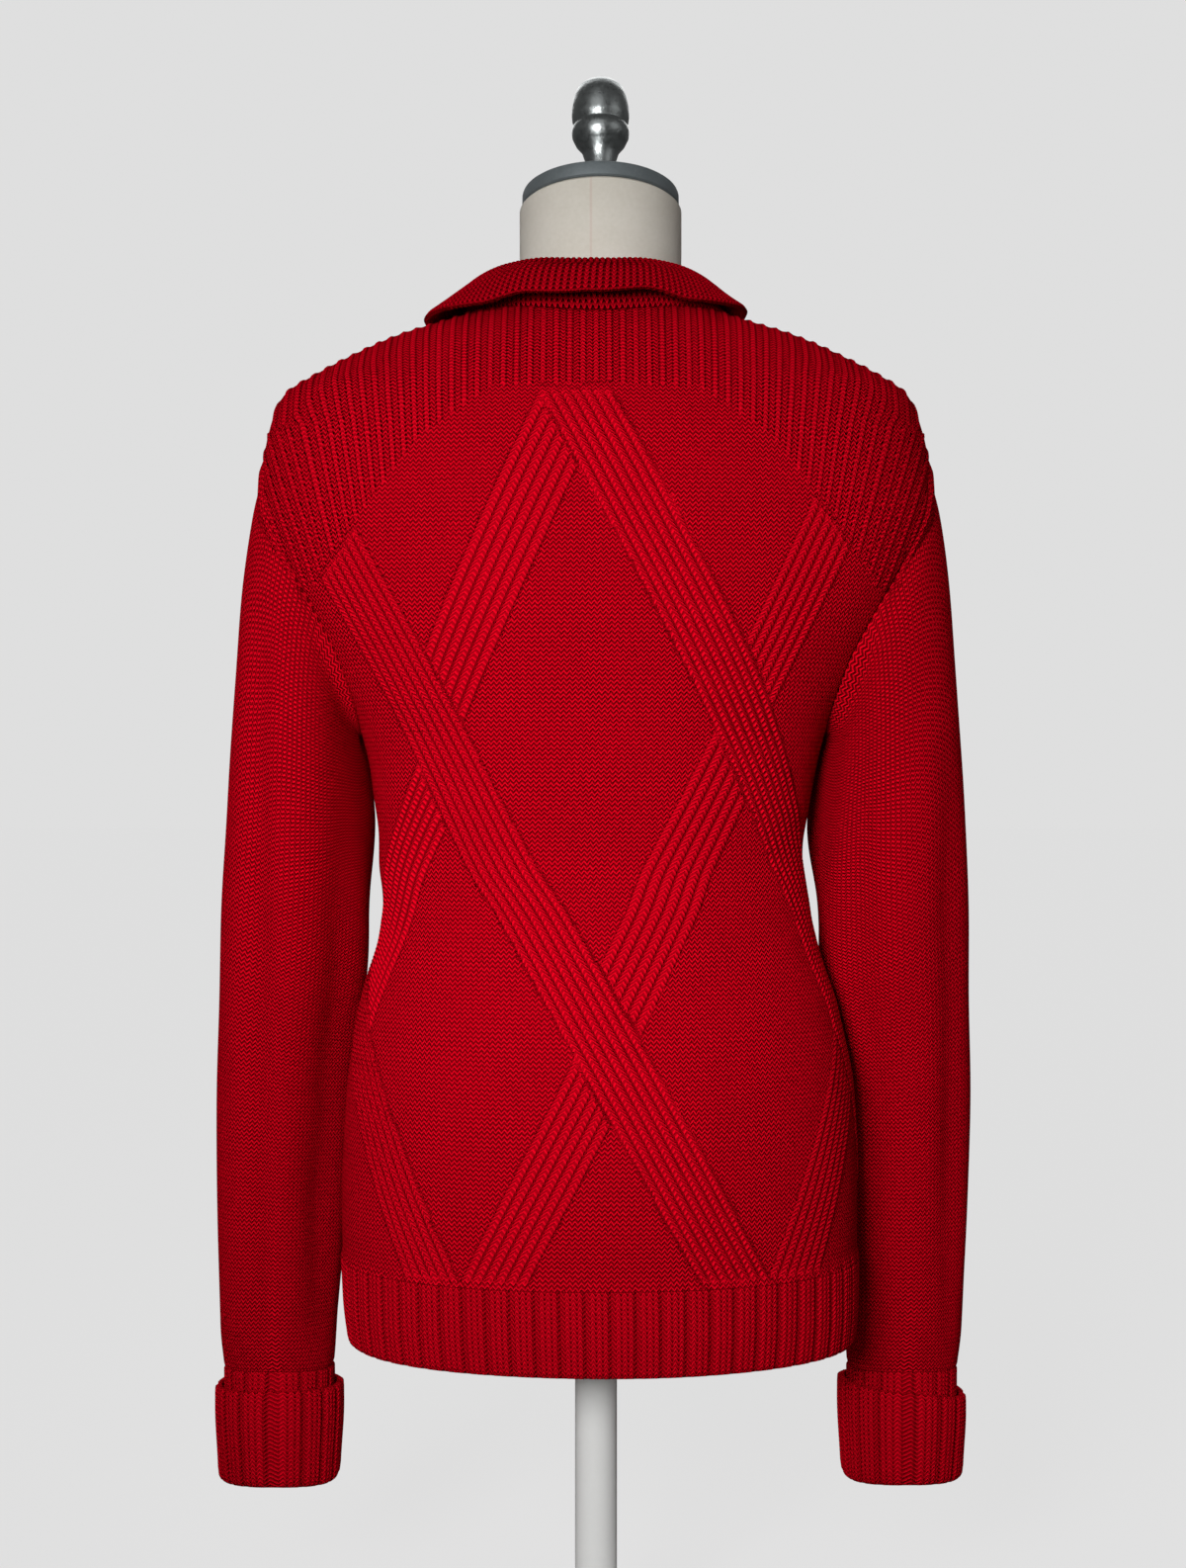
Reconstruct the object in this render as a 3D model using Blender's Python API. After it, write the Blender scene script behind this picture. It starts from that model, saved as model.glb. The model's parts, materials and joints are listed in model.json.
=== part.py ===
"""A polo sweater of thick knit on a limbless dress form with a round stand.

Metres, +Z up. The origin is on the floor under the pole. The back of the sweater, with its lattice of
ribs, faces -Y, the chest faces +Y, and +X is the wearer's right. Every piece of cloth is a wall of real
thickness: the body's panels lie on one smooth surface of stacked sections, and the sleeves, cuffs, hem
ribs and collar are rows of points joined round a wall.
"""

import math
from collections import namedtuple
from functools import lru_cache

import bmesh
import bpy
import numpy as np
from mathutils import Matrix, Vector
from mathutils.geometry import delaunay_2d_cdt

# --- Driving dimensions, in metres -----------------------------------------------------------------
WALL = 0.0030  # thickness of the knit
SEAM = 0.0003  # gap between two pieces at a seam
RISE = 0.0014  # height of a rib above the field
CLEAR = 0.0010  # space between a sleeve and the side of the body

HEM_TOP = 0.2500  # seam of hem rib and body
HEM_BOTTOM = 0.2015
UNDERARM = 0.5600
ARM_TOP = 0.7270  # top of the armhole
ARM_HALF_DEPTH = 0.0520
ARM_STATIONS = 12  # steps from the top of the armhole to the underarm

NECK_HALF = 0.0790  # the neck opening, from above
NECK_BACK = 0.0600
NECK_FRONT = 0.0680
SHOULDER_FORWARD = 0.0100  # the shoulder seam lies this far in front of the ridge, at the neck

YOKE_PITCH = 0.0075
YOKE_LAST = 25  # ribs on each side of the middle one
YOKE_LEAN = 1.3
HEM_REPEATS = 31  # ribs of the hem on each panel
CUFF_RIBS = 16
COLLAR_RIBS = 90

FORM_BOTTOM = 0.2040
FORM_GAP = 0.0016  # cloth to form on the shoulders
NECK_RADIUS = 0.0482
NECK_SHIFT = 0.0027  # the neck stands this far to the right of the origin
CAP_RADIUS = 0.0466
CAP_TILT = math.radians(13)
CAP_TOP = 0.8808
CAP_THICK = 0.0095
POLE_RADIUS = 0.0125
BASE_RADIUS = 0.1400
BASE_THICK = 0.0150

WOOL = (0.45, 0.006, 0.012)
LINEN = (0.62, 0.58, 0.50)
STEEL = (0.42, 0.44, 0.46)
PALE_PAINT = (0.68, 0.68, 0.67)
HORN = (0.16, 0.012, 0.016)

# --- The body's surface ----------------------------------------------------------------------------
# Level sections of the sweater's outer face: half the width, depth behind and before the side, how far
# the middle stands to the right, and how square the outline is (2 is an ellipse).
Section = namedtuple("Section", "height half_width back front sway squareness")
BODY = (
    Section(0.1900, 0.1478, 0.116, 0.101, 0.0032, 2.20),
    Section(0.2280, 0.1519, 0.119, 0.104, 0.0027, 2.20),
    Section(0.2810, 0.1528, 0.119, 0.105, 0.0020, 2.20),
    Section(0.3480, 0.1500, 0.114, 0.104, 0.0019, 2.20),
    Section(0.3940, 0.1422, 0.104, 0.101, 0.0012, 2.20),
    Section(0.4545, 0.1266, 0.090, 0.098, 0.0000, 2.20),
    Section(0.4834, 0.1258, 0.087, 0.100, -0.0030, 2.20),
    Section(0.5340, 0.1316, 0.094, 0.116, -0.0018, 2.20),
    Section(0.5600, 0.1375, 0.098, 0.124, -0.0015, 2.25),
    Section(0.5970, 0.1560, 0.103, 0.130, -0.0010, 2.30),
    Section(0.6270, 0.1740, 0.106, 0.126, -0.0006, 2.40),
    Section(0.6550, 0.1890, 0.107, 0.117, -0.0004, 2.50),
    Section(0.6900, 0.1985, 0.107, 0.103, -0.0002, 2.60),
    Section(0.7247, 0.1960, 0.102, 0.087, 0.0000, 2.70),
    Section(0.7440, 0.1918, 0.097, 0.077, 0.0000, 2.60),
    Section(0.7580, 0.1855, 0.091, 0.068, 0.0000, 2.60),
    Section(0.7713, 0.1670, 0.083, 0.057, 0.0000, 2.50),
    Section(0.7868, 0.1363, 0.073, 0.046, 0.0000, 2.40),
    Section(0.7935, 0.1195, 0.068, 0.041, 0.0000, 2.40),
    Section(0.7992, 0.1030, 0.063, 0.036, 0.0000, 2.30),
    Section(0.8045, 0.0865, 0.058, 0.032, 0.0000, 2.30),
    Section(0.8160, 0.0600, 0.045, 0.024, 0.0000, 2.20),
)
TOP = BODY[-1].height
SHOULDER_LOW = 0.7000  # above this the sections only shrink

# Lower border of the ribbed yoke on the back: distance from the middle along the cloth, and height.
Border = namedtuple("Border", "across height")
YOKE_BACK = (
    Border(0.000, 0.7545),
    Border(0.058, 0.7535),
    Border(0.070, 0.7450),
    Border(0.085, 0.7350),
    Border(0.100, 0.7240),
    Border(0.125, 0.6930),
    Border(0.150, 0.6620),
    Border(0.170, 0.6430),
    Border(0.230, 0.6300),
)
YOKE_FRONT = (
    Border(0.000, 0.7150),
    Border(0.060, 0.7150),
    Border(0.085, 0.7060),
    Border(0.120, 0.6900),
    Border(0.230, 0.6500),
)

# Straight lines on the back: where the line is at a height, and how it leans (across for each height).
Line = namedtuple("Line", "across height lean")


def line_at(line, height):
    """Where a line on the cloth is at a height."""
    return line.across + line.lean * (height - line.height)


def beside(line, distance):
    """The same line, moved across."""
    return line._replace(across=line.across + distance)


# The lattice: bands of narrow ribs. Each is a left edge, a number of ribs and their pitch.
Band = namedtuple("Band", "left ribs pitch")
LONG_RIGHT = Band(Line(-0.0328, 0.7500, -0.540), 7, 0.0061)  # from the nape to the right side
LONG_LEFT = Band(Line(-0.1813, 0.6780, -0.558), 7, 0.0061)  # from the left armhole to the right hem
UPPER_LEFT = Band(Line(-0.0361, 0.7423, 0.450), 6, 0.0070)
MIDDLE_RIGHT = Band(Line(0.0652, 0.5528, 0.515), 6, 0.0072)
UPPER_RIGHT = Band(Line(0.1242, 0.6929, 0.470), 6, 0.0062)
LOWER_LEFT = Band(Line(-0.0160, 0.3737, 0.530), 6, 0.0066)
SIDE_LEFT_LOW = Band(Line(-0.1189, 0.2578, -0.525), 6, 0.0062)
SIDE_LEFT_HIGH = Band(Line(-0.1276, 0.5047, 0.560), 6, 0.0071)
SIDE_RIGHT_LOW = Band(Line(0.0990, 0.2598, 0.490), 6, 0.0067)
BAND_GAP = 0.0022  # plain knit between the end of a rib and what crosses it
PATH_ERROR = 0.0012  # how far a rib's chords may leave its line
FLAT_HALF = 0.080  # the body is nearly flat as far as this from its middle
SIDE_SHARE = 0.60  # how much closer the points of a panel stand beyond that


def right_edge(band):
    """The line along a band's right side."""
    return beside(band.left, band.ribs * band.pitch)


@lru_cache(maxsize=None)
def hermite(table, column):
    """Heights, values and slopes of a column, so that the curve through it never overshoots."""
    heights = np.array([row.height for row in table])
    values = np.array([getattr(row, column) for row in table])
    steps = np.diff(heights)
    rates = np.diff(values) / steps
    slopes = np.zeros(len(values))
    slopes[0], slopes[-1] = rates[0], rates[-1]
    for i in range(1, len(values) - 1):
        if rates[i - 1] * rates[i] > 0:
            before, after = 2 * steps[i] + steps[i - 1], steps[i] + 2 * steps[i - 1]
            slopes[i] = (before + after) / (before / rates[i - 1] + after / rates[i])
    return heights, values, slopes


@lru_cache(maxsize=None)
def smooth(table, column, height):
    """The column's value at a height, on a smooth curve through its rows."""
    heights, values, slopes = hermite(table, column)
    i = min(max(int(np.searchsorted(heights, height)) - 1, 0), len(heights) - 2)
    step = heights[i + 1] - heights[i]
    t = min(max((height - heights[i]) / step, 0.0), 1.0)
    return float(
        (2 * t**3 - 3 * t**2 + 1) * values[i]
        + (t**3 - 2 * t**2 + t) * step * slopes[i]
        + (3 * t**2 - 2 * t**3) * values[i + 1]
        + (t**3 - t**2) * step * slopes[i + 1]
    )


@lru_cache(maxsize=None)
def half_section(height):
    """Arc length, X and Y along half of the body's section, from the middle of the back to the front."""
    width, back, front, square = (
        smooth(BODY, column, height) for column in ("half_width", "back", "front", "squareness")
    )
    turn = np.linspace(0.0, math.pi, 361)
    out, fore = np.abs(np.sin(turn)) ** (2 / square), np.abs(np.cos(turn)) ** (2 / square)
    xs, ys = width * out, np.where(turn <= math.pi / 2, -back * fore, front * fore)
    arcs = np.concatenate([[0.0], np.cumsum(np.hypot(np.diff(xs), np.diff(ys)))])
    return arcs, xs, ys


def arc_at_y(height, y):
    """Arc length from the middle of the back to where the section passes a depth Y."""
    arcs, _, ys = half_section(round(height, 6))
    return float(np.interp(y, ys, arcs))


def side_x(height, y):
    """Half the width of the section at a depth Y, from the section's own middle."""
    _, xs, ys = half_section(round(height, 6))
    return float(np.interp(y, ys, xs))


def girth(height):
    """Arc length of half the section."""
    return float(half_section(round(height, 6))[0][-1])


def height_at(x, y):
    """Height of the shoulders' surface over a point of the plan."""
    low, high = SHOULDER_LOW, TOP
    for _ in range(40):
        middle = (low + high) / 2
        width = smooth(BODY, "half_width", middle)
        depth = smooth(BODY, "back" if y < 0 else "front", middle)
        square = smooth(BODY, "squareness", middle)
        if (abs(x) / width) ** square + (abs(y) / depth) ** square < 1:
            low = middle
        else:
            high = middle
    return (low + high) / 2


def surface(along, side, height):
    """A point of the body's outer face. along is the arc from the middle of the back, side is +1 or -1."""
    arcs, xs, ys = half_section(round(height, 6))
    if along < 0:
        along, side = -along, -side
    if along > arcs[-1]:
        along, side = 2 * arcs[-1] - along, -side
    x = side * float(np.interp(along, arcs, xs)) + smooth(BODY, "sway", round(height, 6))
    return Vector((x, float(np.interp(along, arcs, ys)), height))


def normal_at(along, side, height):
    """The outward direction of the body's face."""
    step = 0.0015
    low, high = max(height - step, BODY[0].height), min(height + step, TOP)
    share_low = along / girth(height) * girth(low)
    share_high = along / girth(height) * girth(high)
    across = surface(along + step, side, height) - surface(along - step, side, height)
    upwards = surface(share_high, side, high) - surface(share_low, side, low)
    return (across.cross(upwards) * side).normalized()


def plan_point(x, y):
    """Arc, side and height of the point of the shoulders over a point of the plan."""
    height = height_at(x, y)
    return arc_at_y(height, y), math.copysign(1, x), height


# --- Seams -----------------------------------------------------------------------------------------
def armhole_y(height):
    """Half the depth of the armhole at a height."""
    half = (ARM_TOP - UNDERARM) / 2
    share = (height - UNDERARM - half) / half
    return ARM_HALF_DEPTH * math.sqrt(max(1 - share * share, 0.0))


def armhole_height(step):
    """Height of a station of the armhole: step 0 is its top and ARM_STATIONS the underarm."""
    turn = math.pi * step / ARM_STATIONS
    return UNDERARM + (ARM_TOP - UNDERARM) * (1 + math.cos(turn)) / 2


def armhole_point(step, side, back):
    """A point of the armhole's edge and the direction of the wall's thickness there."""
    height = armhole_height(step)
    y = -armhole_y(height) if back else armhole_y(height)
    along = arc_at_y(height, y)
    point = surface(along, side, height)
    turn = math.pi * step / ARM_STATIONS
    sleeve = Vector((side * math.cos(turn), math.sin(turn) * (-1 if back else 1), 0))
    droop = Vector((0, 0, -0.3 * (1 - math.cos(turn)) / 2))
    return point, (normal_at(along, side, height) + sleeve + droop).normalized()


def neck_y(x, back):
    """Depth of the neck opening at a distance from the middle."""
    depth = -NECK_BACK if back else NECK_FRONT
    return depth * math.sqrt(max(1 - (x / NECK_HALF) ** 2, 0.0))


def neck_direction(x, y, normal):
    """Direction of the wall's thickness at the neck seam, between the body's and the collar's."""
    return (normal + Vector((x / NECK_HALF, y / NECK_BACK, 0)).normalized()).normalized()


def shoulder_y(x):
    """Depth of the shoulder seam at a distance from the middle."""
    last = side_x(ARM_TOP, 0.0)
    share = (abs(x) - NECK_HALF) / (last - NECK_HALF)
    return SHOULDER_FORWARD * (1 - min(max(share, 0.0), 1.0) ** 2)


def side_heights():
    """Stations of the side seam, from the hem to the underarm."""
    count = 14
    return [HEM_TOP + SEAM / 2 + (UNDERARM - HEM_TOP) * i / count for i in range(count)]


def rib_places():
    """Distance from the middle of every ridge and furrow of the yoke, and its rise."""
    last = 2 * YOKE_LAST - 1
    return [(k * YOKE_PITCH / 2, RISE if k % 2 == 0 else 0.0) for k in range(-last, last + 1)]


# --- Solids ----------------------------------------------------------------------------------------
def material(name, colour, roughness, metallic=0.0):
    """A plain finish."""
    made = bpy.data.materials.new(name)
    made.use_nodes = True
    shader = made.node_tree.nodes["Principled BSDF"]
    shader.inputs["Base Color"].default_value = (*colour, 1)
    shader.inputs["Roughness"].default_value = roughness
    shader.inputs["Metallic"].default_value = metallic
    return made


def solid(name, finish, points, faces, round_angle=50):
    """One closed body with its faces turned outwards."""
    mesh = bpy.data.meshes.new(name)
    mesh.from_pydata([tuple(p) for p in points], [], faces)
    body = bmesh.new()
    body.from_mesh(mesh)
    bmesh.ops.recalc_face_normals(body, faces=body.faces)
    body.to_mesh(mesh)
    body.free()
    made = bpy.data.objects.new(name, mesh)
    bpy.context.scene.collection.objects.link(made)
    mesh.materials.append(finish)
    mesh.shade_smooth()
    mesh.set_sharp_from_angle(angle=math.radians(round_angle))
    return made


def zip_rows(first, second, shares_first, shares_second, closed):
    """Triangles between two rows of points, which need not have as many points each."""
    faces, i, j = [], 0, 0
    end_first, end_second = (len(first), len(second)) if closed else (len(first) - 1, len(second) - 1)
    shares_first, shares_second = [*shares_first, 1.0], [*shares_second, 1.0]
    while i < end_first or j < end_second:
        a, b = first[i % len(first)], second[j % len(second)]
        move_first = j >= end_second or (
            i < end_first and shares_first[i + 1] <= shares_second[j + 1] + 1e-9
        )
        if move_first:
            i += 1
            faces.append((a, first[i % len(first)], b))
        else:
            j += 1
            faces.append((a, second[j % len(second)], b))
    return faces


def wall_of_rows(name, finish, rows, closed, round_angle=50):
    """A solid from rows of points that follow each other round its section.

    Each row is a list of (share, point), the share running from 0 to 1 along the row. A closed row joins
    up with itself; open ones get an end face at each end.
    """
    points, numbered = [], []
    for row in rows:
        numbered.append(list(range(len(points), len(points) + len(row))))
        points += [point for _, point in row]
    faces = []
    for k, row in enumerate(rows):
        after = (k + 1) % len(rows)
        shares = [share for share, _ in row], [share for share, _ in rows[after]]
        faces += zip_rows(numbered[k], numbered[after], *shares, closed)
    if not closed:
        faces.append([row[0] for row in numbered])
        faces.append([row[-1] for row in reversed(numbered)])
    return solid(name, finish, points, faces, round_angle)


# --- Panels of the body ----------------------------------------------------------------------------
class Chart:
    """A panel laid out flat: distance across from its middle, height, and rise above the field."""

    def __init__(self, back):
        self.back = back
        self.places, self.rises, self.edges, self.known = [], [], [], {}
        self.outline, self.directions = [], {}

    def add(self, across, height, rise=0.0):
        """The number of a point, which is a new one unless it is there already."""
        key = round(across, 5), round(height, 5)
        if key not in self.known:
            self.known[key] = len(self.places)
            self.places.append((across, height))
            self.rises.append(rise)
        return self.known[key]

    def line(self, points):
        """A line that the cloth is creased along."""
        numbers = [self.add(*point) for point in points]
        self.edges += [pair for pair in zip(numbers, numbers[1:]) if pair[0] != pair[1]]

    def edge_point(self, along, side, height, rise=0.0, direction=None):
        """A point of the panel's outline, and the direction of the wall's thickness at it."""
        across = side * (along if self.back else girth(height) - along)
        number = self.add(across, height, rise)
        if number not in self.outline:
            self.outline.append(number)
        if direction is not None:
            self.directions[number] = direction
        return number

    def place(self, across, height):
        """Arc from the middle of the back, and side, of a point of the chart."""
        along = abs(across) if self.back else girth(height) - abs(across)
        return along, math.copysign(1, across)

    def skin(self, number, across, height, lift):
        """The point in space, lifted off the body's face."""
        along, side = self.place(across, height)
        direction = self.directions.get(number) or normal_at(along, side, height)
        return surface(along, side, height) + direction * lift


def seam_shift(back):
    """Half the gap at a seam, towards the panel's own middle, as a change of the arc."""
    return -SEAM / 2 if back else SEAM / 2


def level(direction):
    """A direction without its upward part, for the edges that meet the hem rib."""
    return Vector((direction.x, direction.y, 0)).normalized()


def trace_outline(chart):
    """The panel's outline, anticlockwise as its own maker sees it: hem, side, armhole, shoulder, neck."""
    shift = seam_shift(chart.back)
    right = 1 if chart.back else -1
    low = HEM_TOP + SEAM / 2
    seam_low = arc_at_y(low, 0.0) + shift
    span = seam_low if chart.back else girth(low) - seam_low
    count = 24
    for i in range(1, count):
        across = span * (2 * i / count - 1)
        along = abs(across) if chart.back else girth(low) - abs(across)
        side = math.copysign(1, across)
        chart.edge_point(along, side, low, 0.0, level(normal_at(along, side, low)))
    for side in (1, -1):
        steps = []
        for height in side_heights():
            along = arc_at_y(height, 0.0)
            direction = level(normal_at(along, side, height))
            steps.append((along + shift, side, height, 0.0, direction))
        for step in range(ARM_STATIONS, -1, -1):
            height = armhole_height(step)
            y = -armhole_y(height) if chart.back else armhole_y(height)
            _, direction = armhole_point(step, side, chart.back)
            along = arc_at_y(height, y)
            ends = step in (0, ARM_STATIONS)
            steps.append((along + (shift if ends else 0.0), side, height, 0.0, direction))
        for x, rise in [(0.1940, 0.0), (0.1905, 0.0), *reversed(rib_places())]:
            if x > NECK_HALF + 0.002:
                steps.append(shoulder_step(chart, x * side, rise))
        steps.append(shoulder_step(chart, (NECK_HALF - 0.0009) * side, 0.0, neck=True))
        if side < 0:
            steps.reverse()
        else:
            steps += neck_steps(chart)
        for step in steps:
            chart.edge_point(*step)
    if right < 0:
        chart.outline.reverse()
    loop = chart.outline
    chart.edges += list(zip(loop, loop[1:] + loop[:1]))


def shoulder_step(chart, x, rise, neck=False):
    """A point of the shoulder seam."""
    y = shoulder_y(x) + (-SEAM / 2 if chart.back else SEAM / 2)
    along, side, height = plan_point(x, y)
    direction = normal_at(along, side, height)
    if neck:
        direction = neck_direction(x, y, direction)
    return along, side, height, rise, direction


def neck_steps(chart):
    """Points of the neck seam, from the right shoulder to the left."""
    steps = []
    places = [(x, rise) for x, rise in rib_places() if abs(x) < NECK_HALF - 0.004]
    ends = [(NECK_HALF - 0.0002, 0.0), (NECK_HALF - 0.0022, 0.0)]
    if not chart.back:
        ends = ends[1:]
    places = [(-x, rise) for x, rise in ends] + places + [(x, rise) for x, rise in reversed(ends)]
    for x, rise in sorted(places, reverse=True):
        y = neck_y(x, chart.back)
        if not chart.back and y < shoulder_y(NECK_HALF) + 0.002:
            continue
        along, side, height = plan_point(x, y)
        direction = neck_direction(x, y, normal_at(along, side, height))
        steps.append((along, side, height, rise, direction))
    return steps


def yoke_border(table, across):
    """Height of the yoke's lower border."""
    return float(np.interp(abs(across), [b.across for b in table], [b.height for b in table]))


def free_edge(back, height):
    """Distance from the panel's middle to its side seam or armhole."""
    if height < UNDERARM:
        along = arc_at_y(height, 0.0)
    else:
        along = arc_at_y(height, (-1 if back else 1) * armhole_y(min(height, ARM_TOP)))
    return along if back else girth(height) - along


def rib_path(chart, x, rise, table):
    """A line of the yoke, from the shoulder or the neck over the ridge and down to the border."""
    side = math.copysign(1, x)
    on_neck = abs(x) < NECK_HALF - 0.004
    if on_neck:
        top = neck_y(x, chart.back)
    elif abs(x) > NECK_HALF + 0.002:
        top = shoulder_y(x) + (-SEAM / 2 if chart.back else SEAM / 2)
    else:
        return []
    path, y = [], top
    while True:
        along, _, height = plan_point(x, y)
        if path and (on_neck or height < SHOULDER_LOW + 0.045 or abs(y) > 0.050):
            break
        path.append((along if chart.back else girth(height) - along, height))
        y += -0.004 if chart.back else 0.004
    start = height = path[-1][1]
    lean = YOKE_LEAN * (x / 0.16) ** 2 if chart.back else 0.0
    while height > 0.60:
        height -= 0.002
        reach = abs(x) * (1 - lean * max(start - height, 0))
        arcs, xs, _ = half_section(round(height, 6))
        half = len(xs) // 2 + 1
        if reach >= xs[half - 1]:
            break
        if chart.back:
            across = float(np.interp(reach, xs[:half], arcs[:half]))
        else:
            across = girth(height) - float(np.interp(-reach, -xs[half - 1 :], arcs[half - 1 :]))
        if across > free_edge(chart.back, height) - 0.004 or height < yoke_border(table, across):
            break
        path.append((across, height))
    line = [(side * across, height, rise) for across, height in sparse(chart, path)]
    if len(line) > 1:
        across, height, _ = line[-1]
        line.append((across, height - 0.0025, 0.0))
    return line


def sparse(chart, path):
    """The points of a path on the cloth that keep it within a small distance of the full one."""
    places = [surface(*chart.place(across, height), height) for across, height in path]

    def kept(first, last):
        if last - first < 2:
            return [last]
        chord = (places[last] - places[first]).normalized()
        off = [(place - places[first]).cross(chord).length for place in places[first + 1 : last]]
        worst = max(range(len(off)), key=off.__getitem__)
        if off[worst] < PATH_ERROR:
            return [last]
        middle = first + 1 + worst
        return kept(first, middle) + kept(middle, last)

    return [path[0], *[path[k] for k in kept(0, len(path) - 1)]] if len(path) > 1 else path


def band_lines(chart, band, allowed):
    """Ridges and furrows of a band of the lattice, each cut to where it is allowed."""
    lines = []
    for k in range(2 * band.ribs + 1):
        line = beside(band.left, k * band.pitch / 2)
        heights = [
            HEM_TOP + 0.0020 + i * 0.001
            for i in range(int((ARM_TOP + 0.03 - HEM_TOP) / 0.001))
        ]
        kept = [h for h in heights if allowed(line_at(line, h), h)]
        if len(kept) < 8:
            continue
        high, low = kept[-1], kept[0]
        rise = RISE if k % 2 else 0.0
        path = sparse(chart, [(line_at(line, h), h) for h in kept])
        path = [(across, h, rise) for across, h in path]
        if rise:
            taper = 0.0016
            path = [
                (line_at(line, low - taper), low - taper, 0.0),
                *path,
                (line_at(line, high + taper), high + taper, 0.0),
            ]
        lines.append(path)
    return lines


def lattice(chart):
    """All lines of the lattice on the back."""

    def inside(across, height):
        edge = free_edge(True, height) - 0.005
        return abs(across) < edge and height < yoke_border(YOKE_BACK, across) - 0.004

    def left_of(line):
        return lambda across, height: across < line_at(line, height) - BAND_GAP

    def right_of(line):
        return lambda across, height: across > line_at(line, height) + BAND_GAP

    rules = (
        (LONG_RIGHT, ()),
        (LONG_LEFT, ()),
        (UPPER_LEFT, (left_of(LONG_RIGHT.left), right_of(right_edge(LONG_LEFT)))),
        (MIDDLE_RIGHT, (left_of(LONG_RIGHT.left), right_of(right_edge(LONG_LEFT)))),
        (UPPER_RIGHT, (right_of(right_edge(LONG_RIGHT)),)),
        (LOWER_LEFT, (left_of(LONG_LEFT.left), right_of(right_edge(SIDE_LEFT_LOW)))),
        (SIDE_LEFT_LOW, ()),
        (SIDE_LEFT_HIGH, (left_of(LONG_LEFT.left), right_of(right_edge(SIDE_LEFT_LOW)))),
        (SIDE_RIGHT_LOW, (left_of(LONG_RIGHT.left), right_of(right_edge(LONG_LEFT)))),
    )
    lines = []
    for band, limits in rules:
        lines += band_lines(
            chart, band, lambda q, h, limits=limits: inside(q, h) and all(rule(q, h) for rule in limits)
        )
    return lines


def inside_loop(loop, points):
    """Which points lie inside a closed outline."""
    x, y = points[:, 0], points[:, 1]
    found = np.zeros(len(points), bool)
    for (ax, ay), (bx, by) in zip(loop, np.roll(loop, -1, axis=0)):
        crosses = (ay > y) != (by > y)
        with np.errstate(divide="ignore", invalid="ignore"):
            found ^= crosses & (x < (bx - ax) * (y - ay) / (by - ay) + ax)
    return found


def filler(chart, pitch, keep_off, edges):
    """Points of a grid inside the outline, closer together where the body turns to its side."""
    places = np.array(chart.places)
    loop = places[chart.outline]
    low, high = loop.min(axis=0), loop.max(axis=0)
    columns = [0.0]
    while columns[-1] < high[0]:
        columns.append(columns[-1] + pitch * (1.0 if columns[-1] < FLAT_HALF else SIDE_SHARE))
    rows = []
    for j in range(int((high[1] - low[1]) / pitch) + 1):
        for side, across in [(side, across) for across in columns for side in (-1, 1)]:
            shift = pitch * (j % 2) * (0.5 if across < FLAT_HALF else SIDE_SHARE / 2)
            rows.append((side * (across + shift), low[1] + (j + 0.5) * pitch))
    grid = np.array(sorted(set(rows)))
    dense = []
    for a, b in edges:
        steps = max(2, int(np.hypot(*(places[b] - places[a])) / 0.004))
        dense.append(places[a] + (places[b] - places[a]) * np.linspace(0, 1, steps)[:, None])
    dense = np.concatenate(dense)
    away = np.array([np.hypot(*(dense - p).T).min() for p in grid])
    return grid[inside_loop(loop, grid) & (away > keep_off)]


def triangulate(places, edges):
    """Triangles of a flat chart that keep its lines, and the chart's own number of each point, or None."""
    flat = [Vector(p) for p in places]
    points, _, faces, origins, _, _ = delaunay_2d_cdt(flat, edges, [], 1, 1e-6)
    return points, faces, [found[0] if found else None for found in origins]


def panel(name, finish, back, lines):
    """A panel of the body: ribs raised on its outer face, a plain inner face, and edges between them."""
    chart = Chart(back)
    trace_outline(chart)
    outline_edges = list(chart.edges)
    for line in lines(chart):
        chart.line(line)
    for across, height in filler(chart, 0.029, 0.009, chart.edges):
        chart.add(across, height)
    points, faces = [], []

    def lay(places, edges, lift_of):
        flat, triangles, origins = triangulate(places, edges)
        base = len(points)
        for place, origin in zip(flat, origins):
            rise = lift_of(origin)
            points.append(chart.skin(origin, place.x, place.y, rise))
        faces.extend([tuple(base + v for v in face) for face in triangles])
        return {origin: base + k for k, origin in enumerate(origins) if origin is not None}

    outer = lay(chart.places, chart.edges, lambda n: 0.0 if n is None else chart.rises[n])
    count = len(chart.outline)
    plain = Chart(back)
    for number in chart.outline:
        plain.outline.append(plain.add(*chart.places[number]))
        if number in chart.directions:
            plain.directions[plain.outline[-1]] = chart.directions[number]
    plain.edges = [(i, (i + 1) % count) for i in range(count)]
    for across, height in shoulder_grid(plain):
        plain.add(across, height)
    for across, height in filler(plain, 0.029, 0.009, plain.edges + near_points(plain, count)):
        plain.add(across, height)
    chart.directions = plain.directions
    inner = lay(plain.places, plain.edges, lambda n: -WALL)
    for k in range(count):
        a, b = chart.outline[k], chart.outline[(k + 1) % count]
        c, d = plain.outline[(k + 1) % count], plain.outline[k]
        faces.append((outer[a], outer[b], inner[c]))
        faces.append((outer[a], inner[c], inner[d]))
    return solid(name, finish, points, faces)


def shoulder_grid(chart):
    """Points on the flat part of the shoulders, evenly spaced from above."""
    sign = -1 if chart.back else 1
    found = []
    for i in range(-10, 11):
        for j in range(5):
            x, y = i * 0.0165, sign * (0.002 + j * 0.014)
            seam = shoulder_y(x) if abs(x) > NECK_HALF else neck_y(x, chart.back)
            if sign * (y - seam) < 0.006 or abs(abs(x) - NECK_HALF) < 0.004:
                continue
            along, side, height = plan_point(x, y)
            across = along if chart.back else girth(height) - along
            if height > ARM_TOP and across < free_edge(chart.back, height) - 0.004:
                found.append((side * across, height))
    return found


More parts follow.
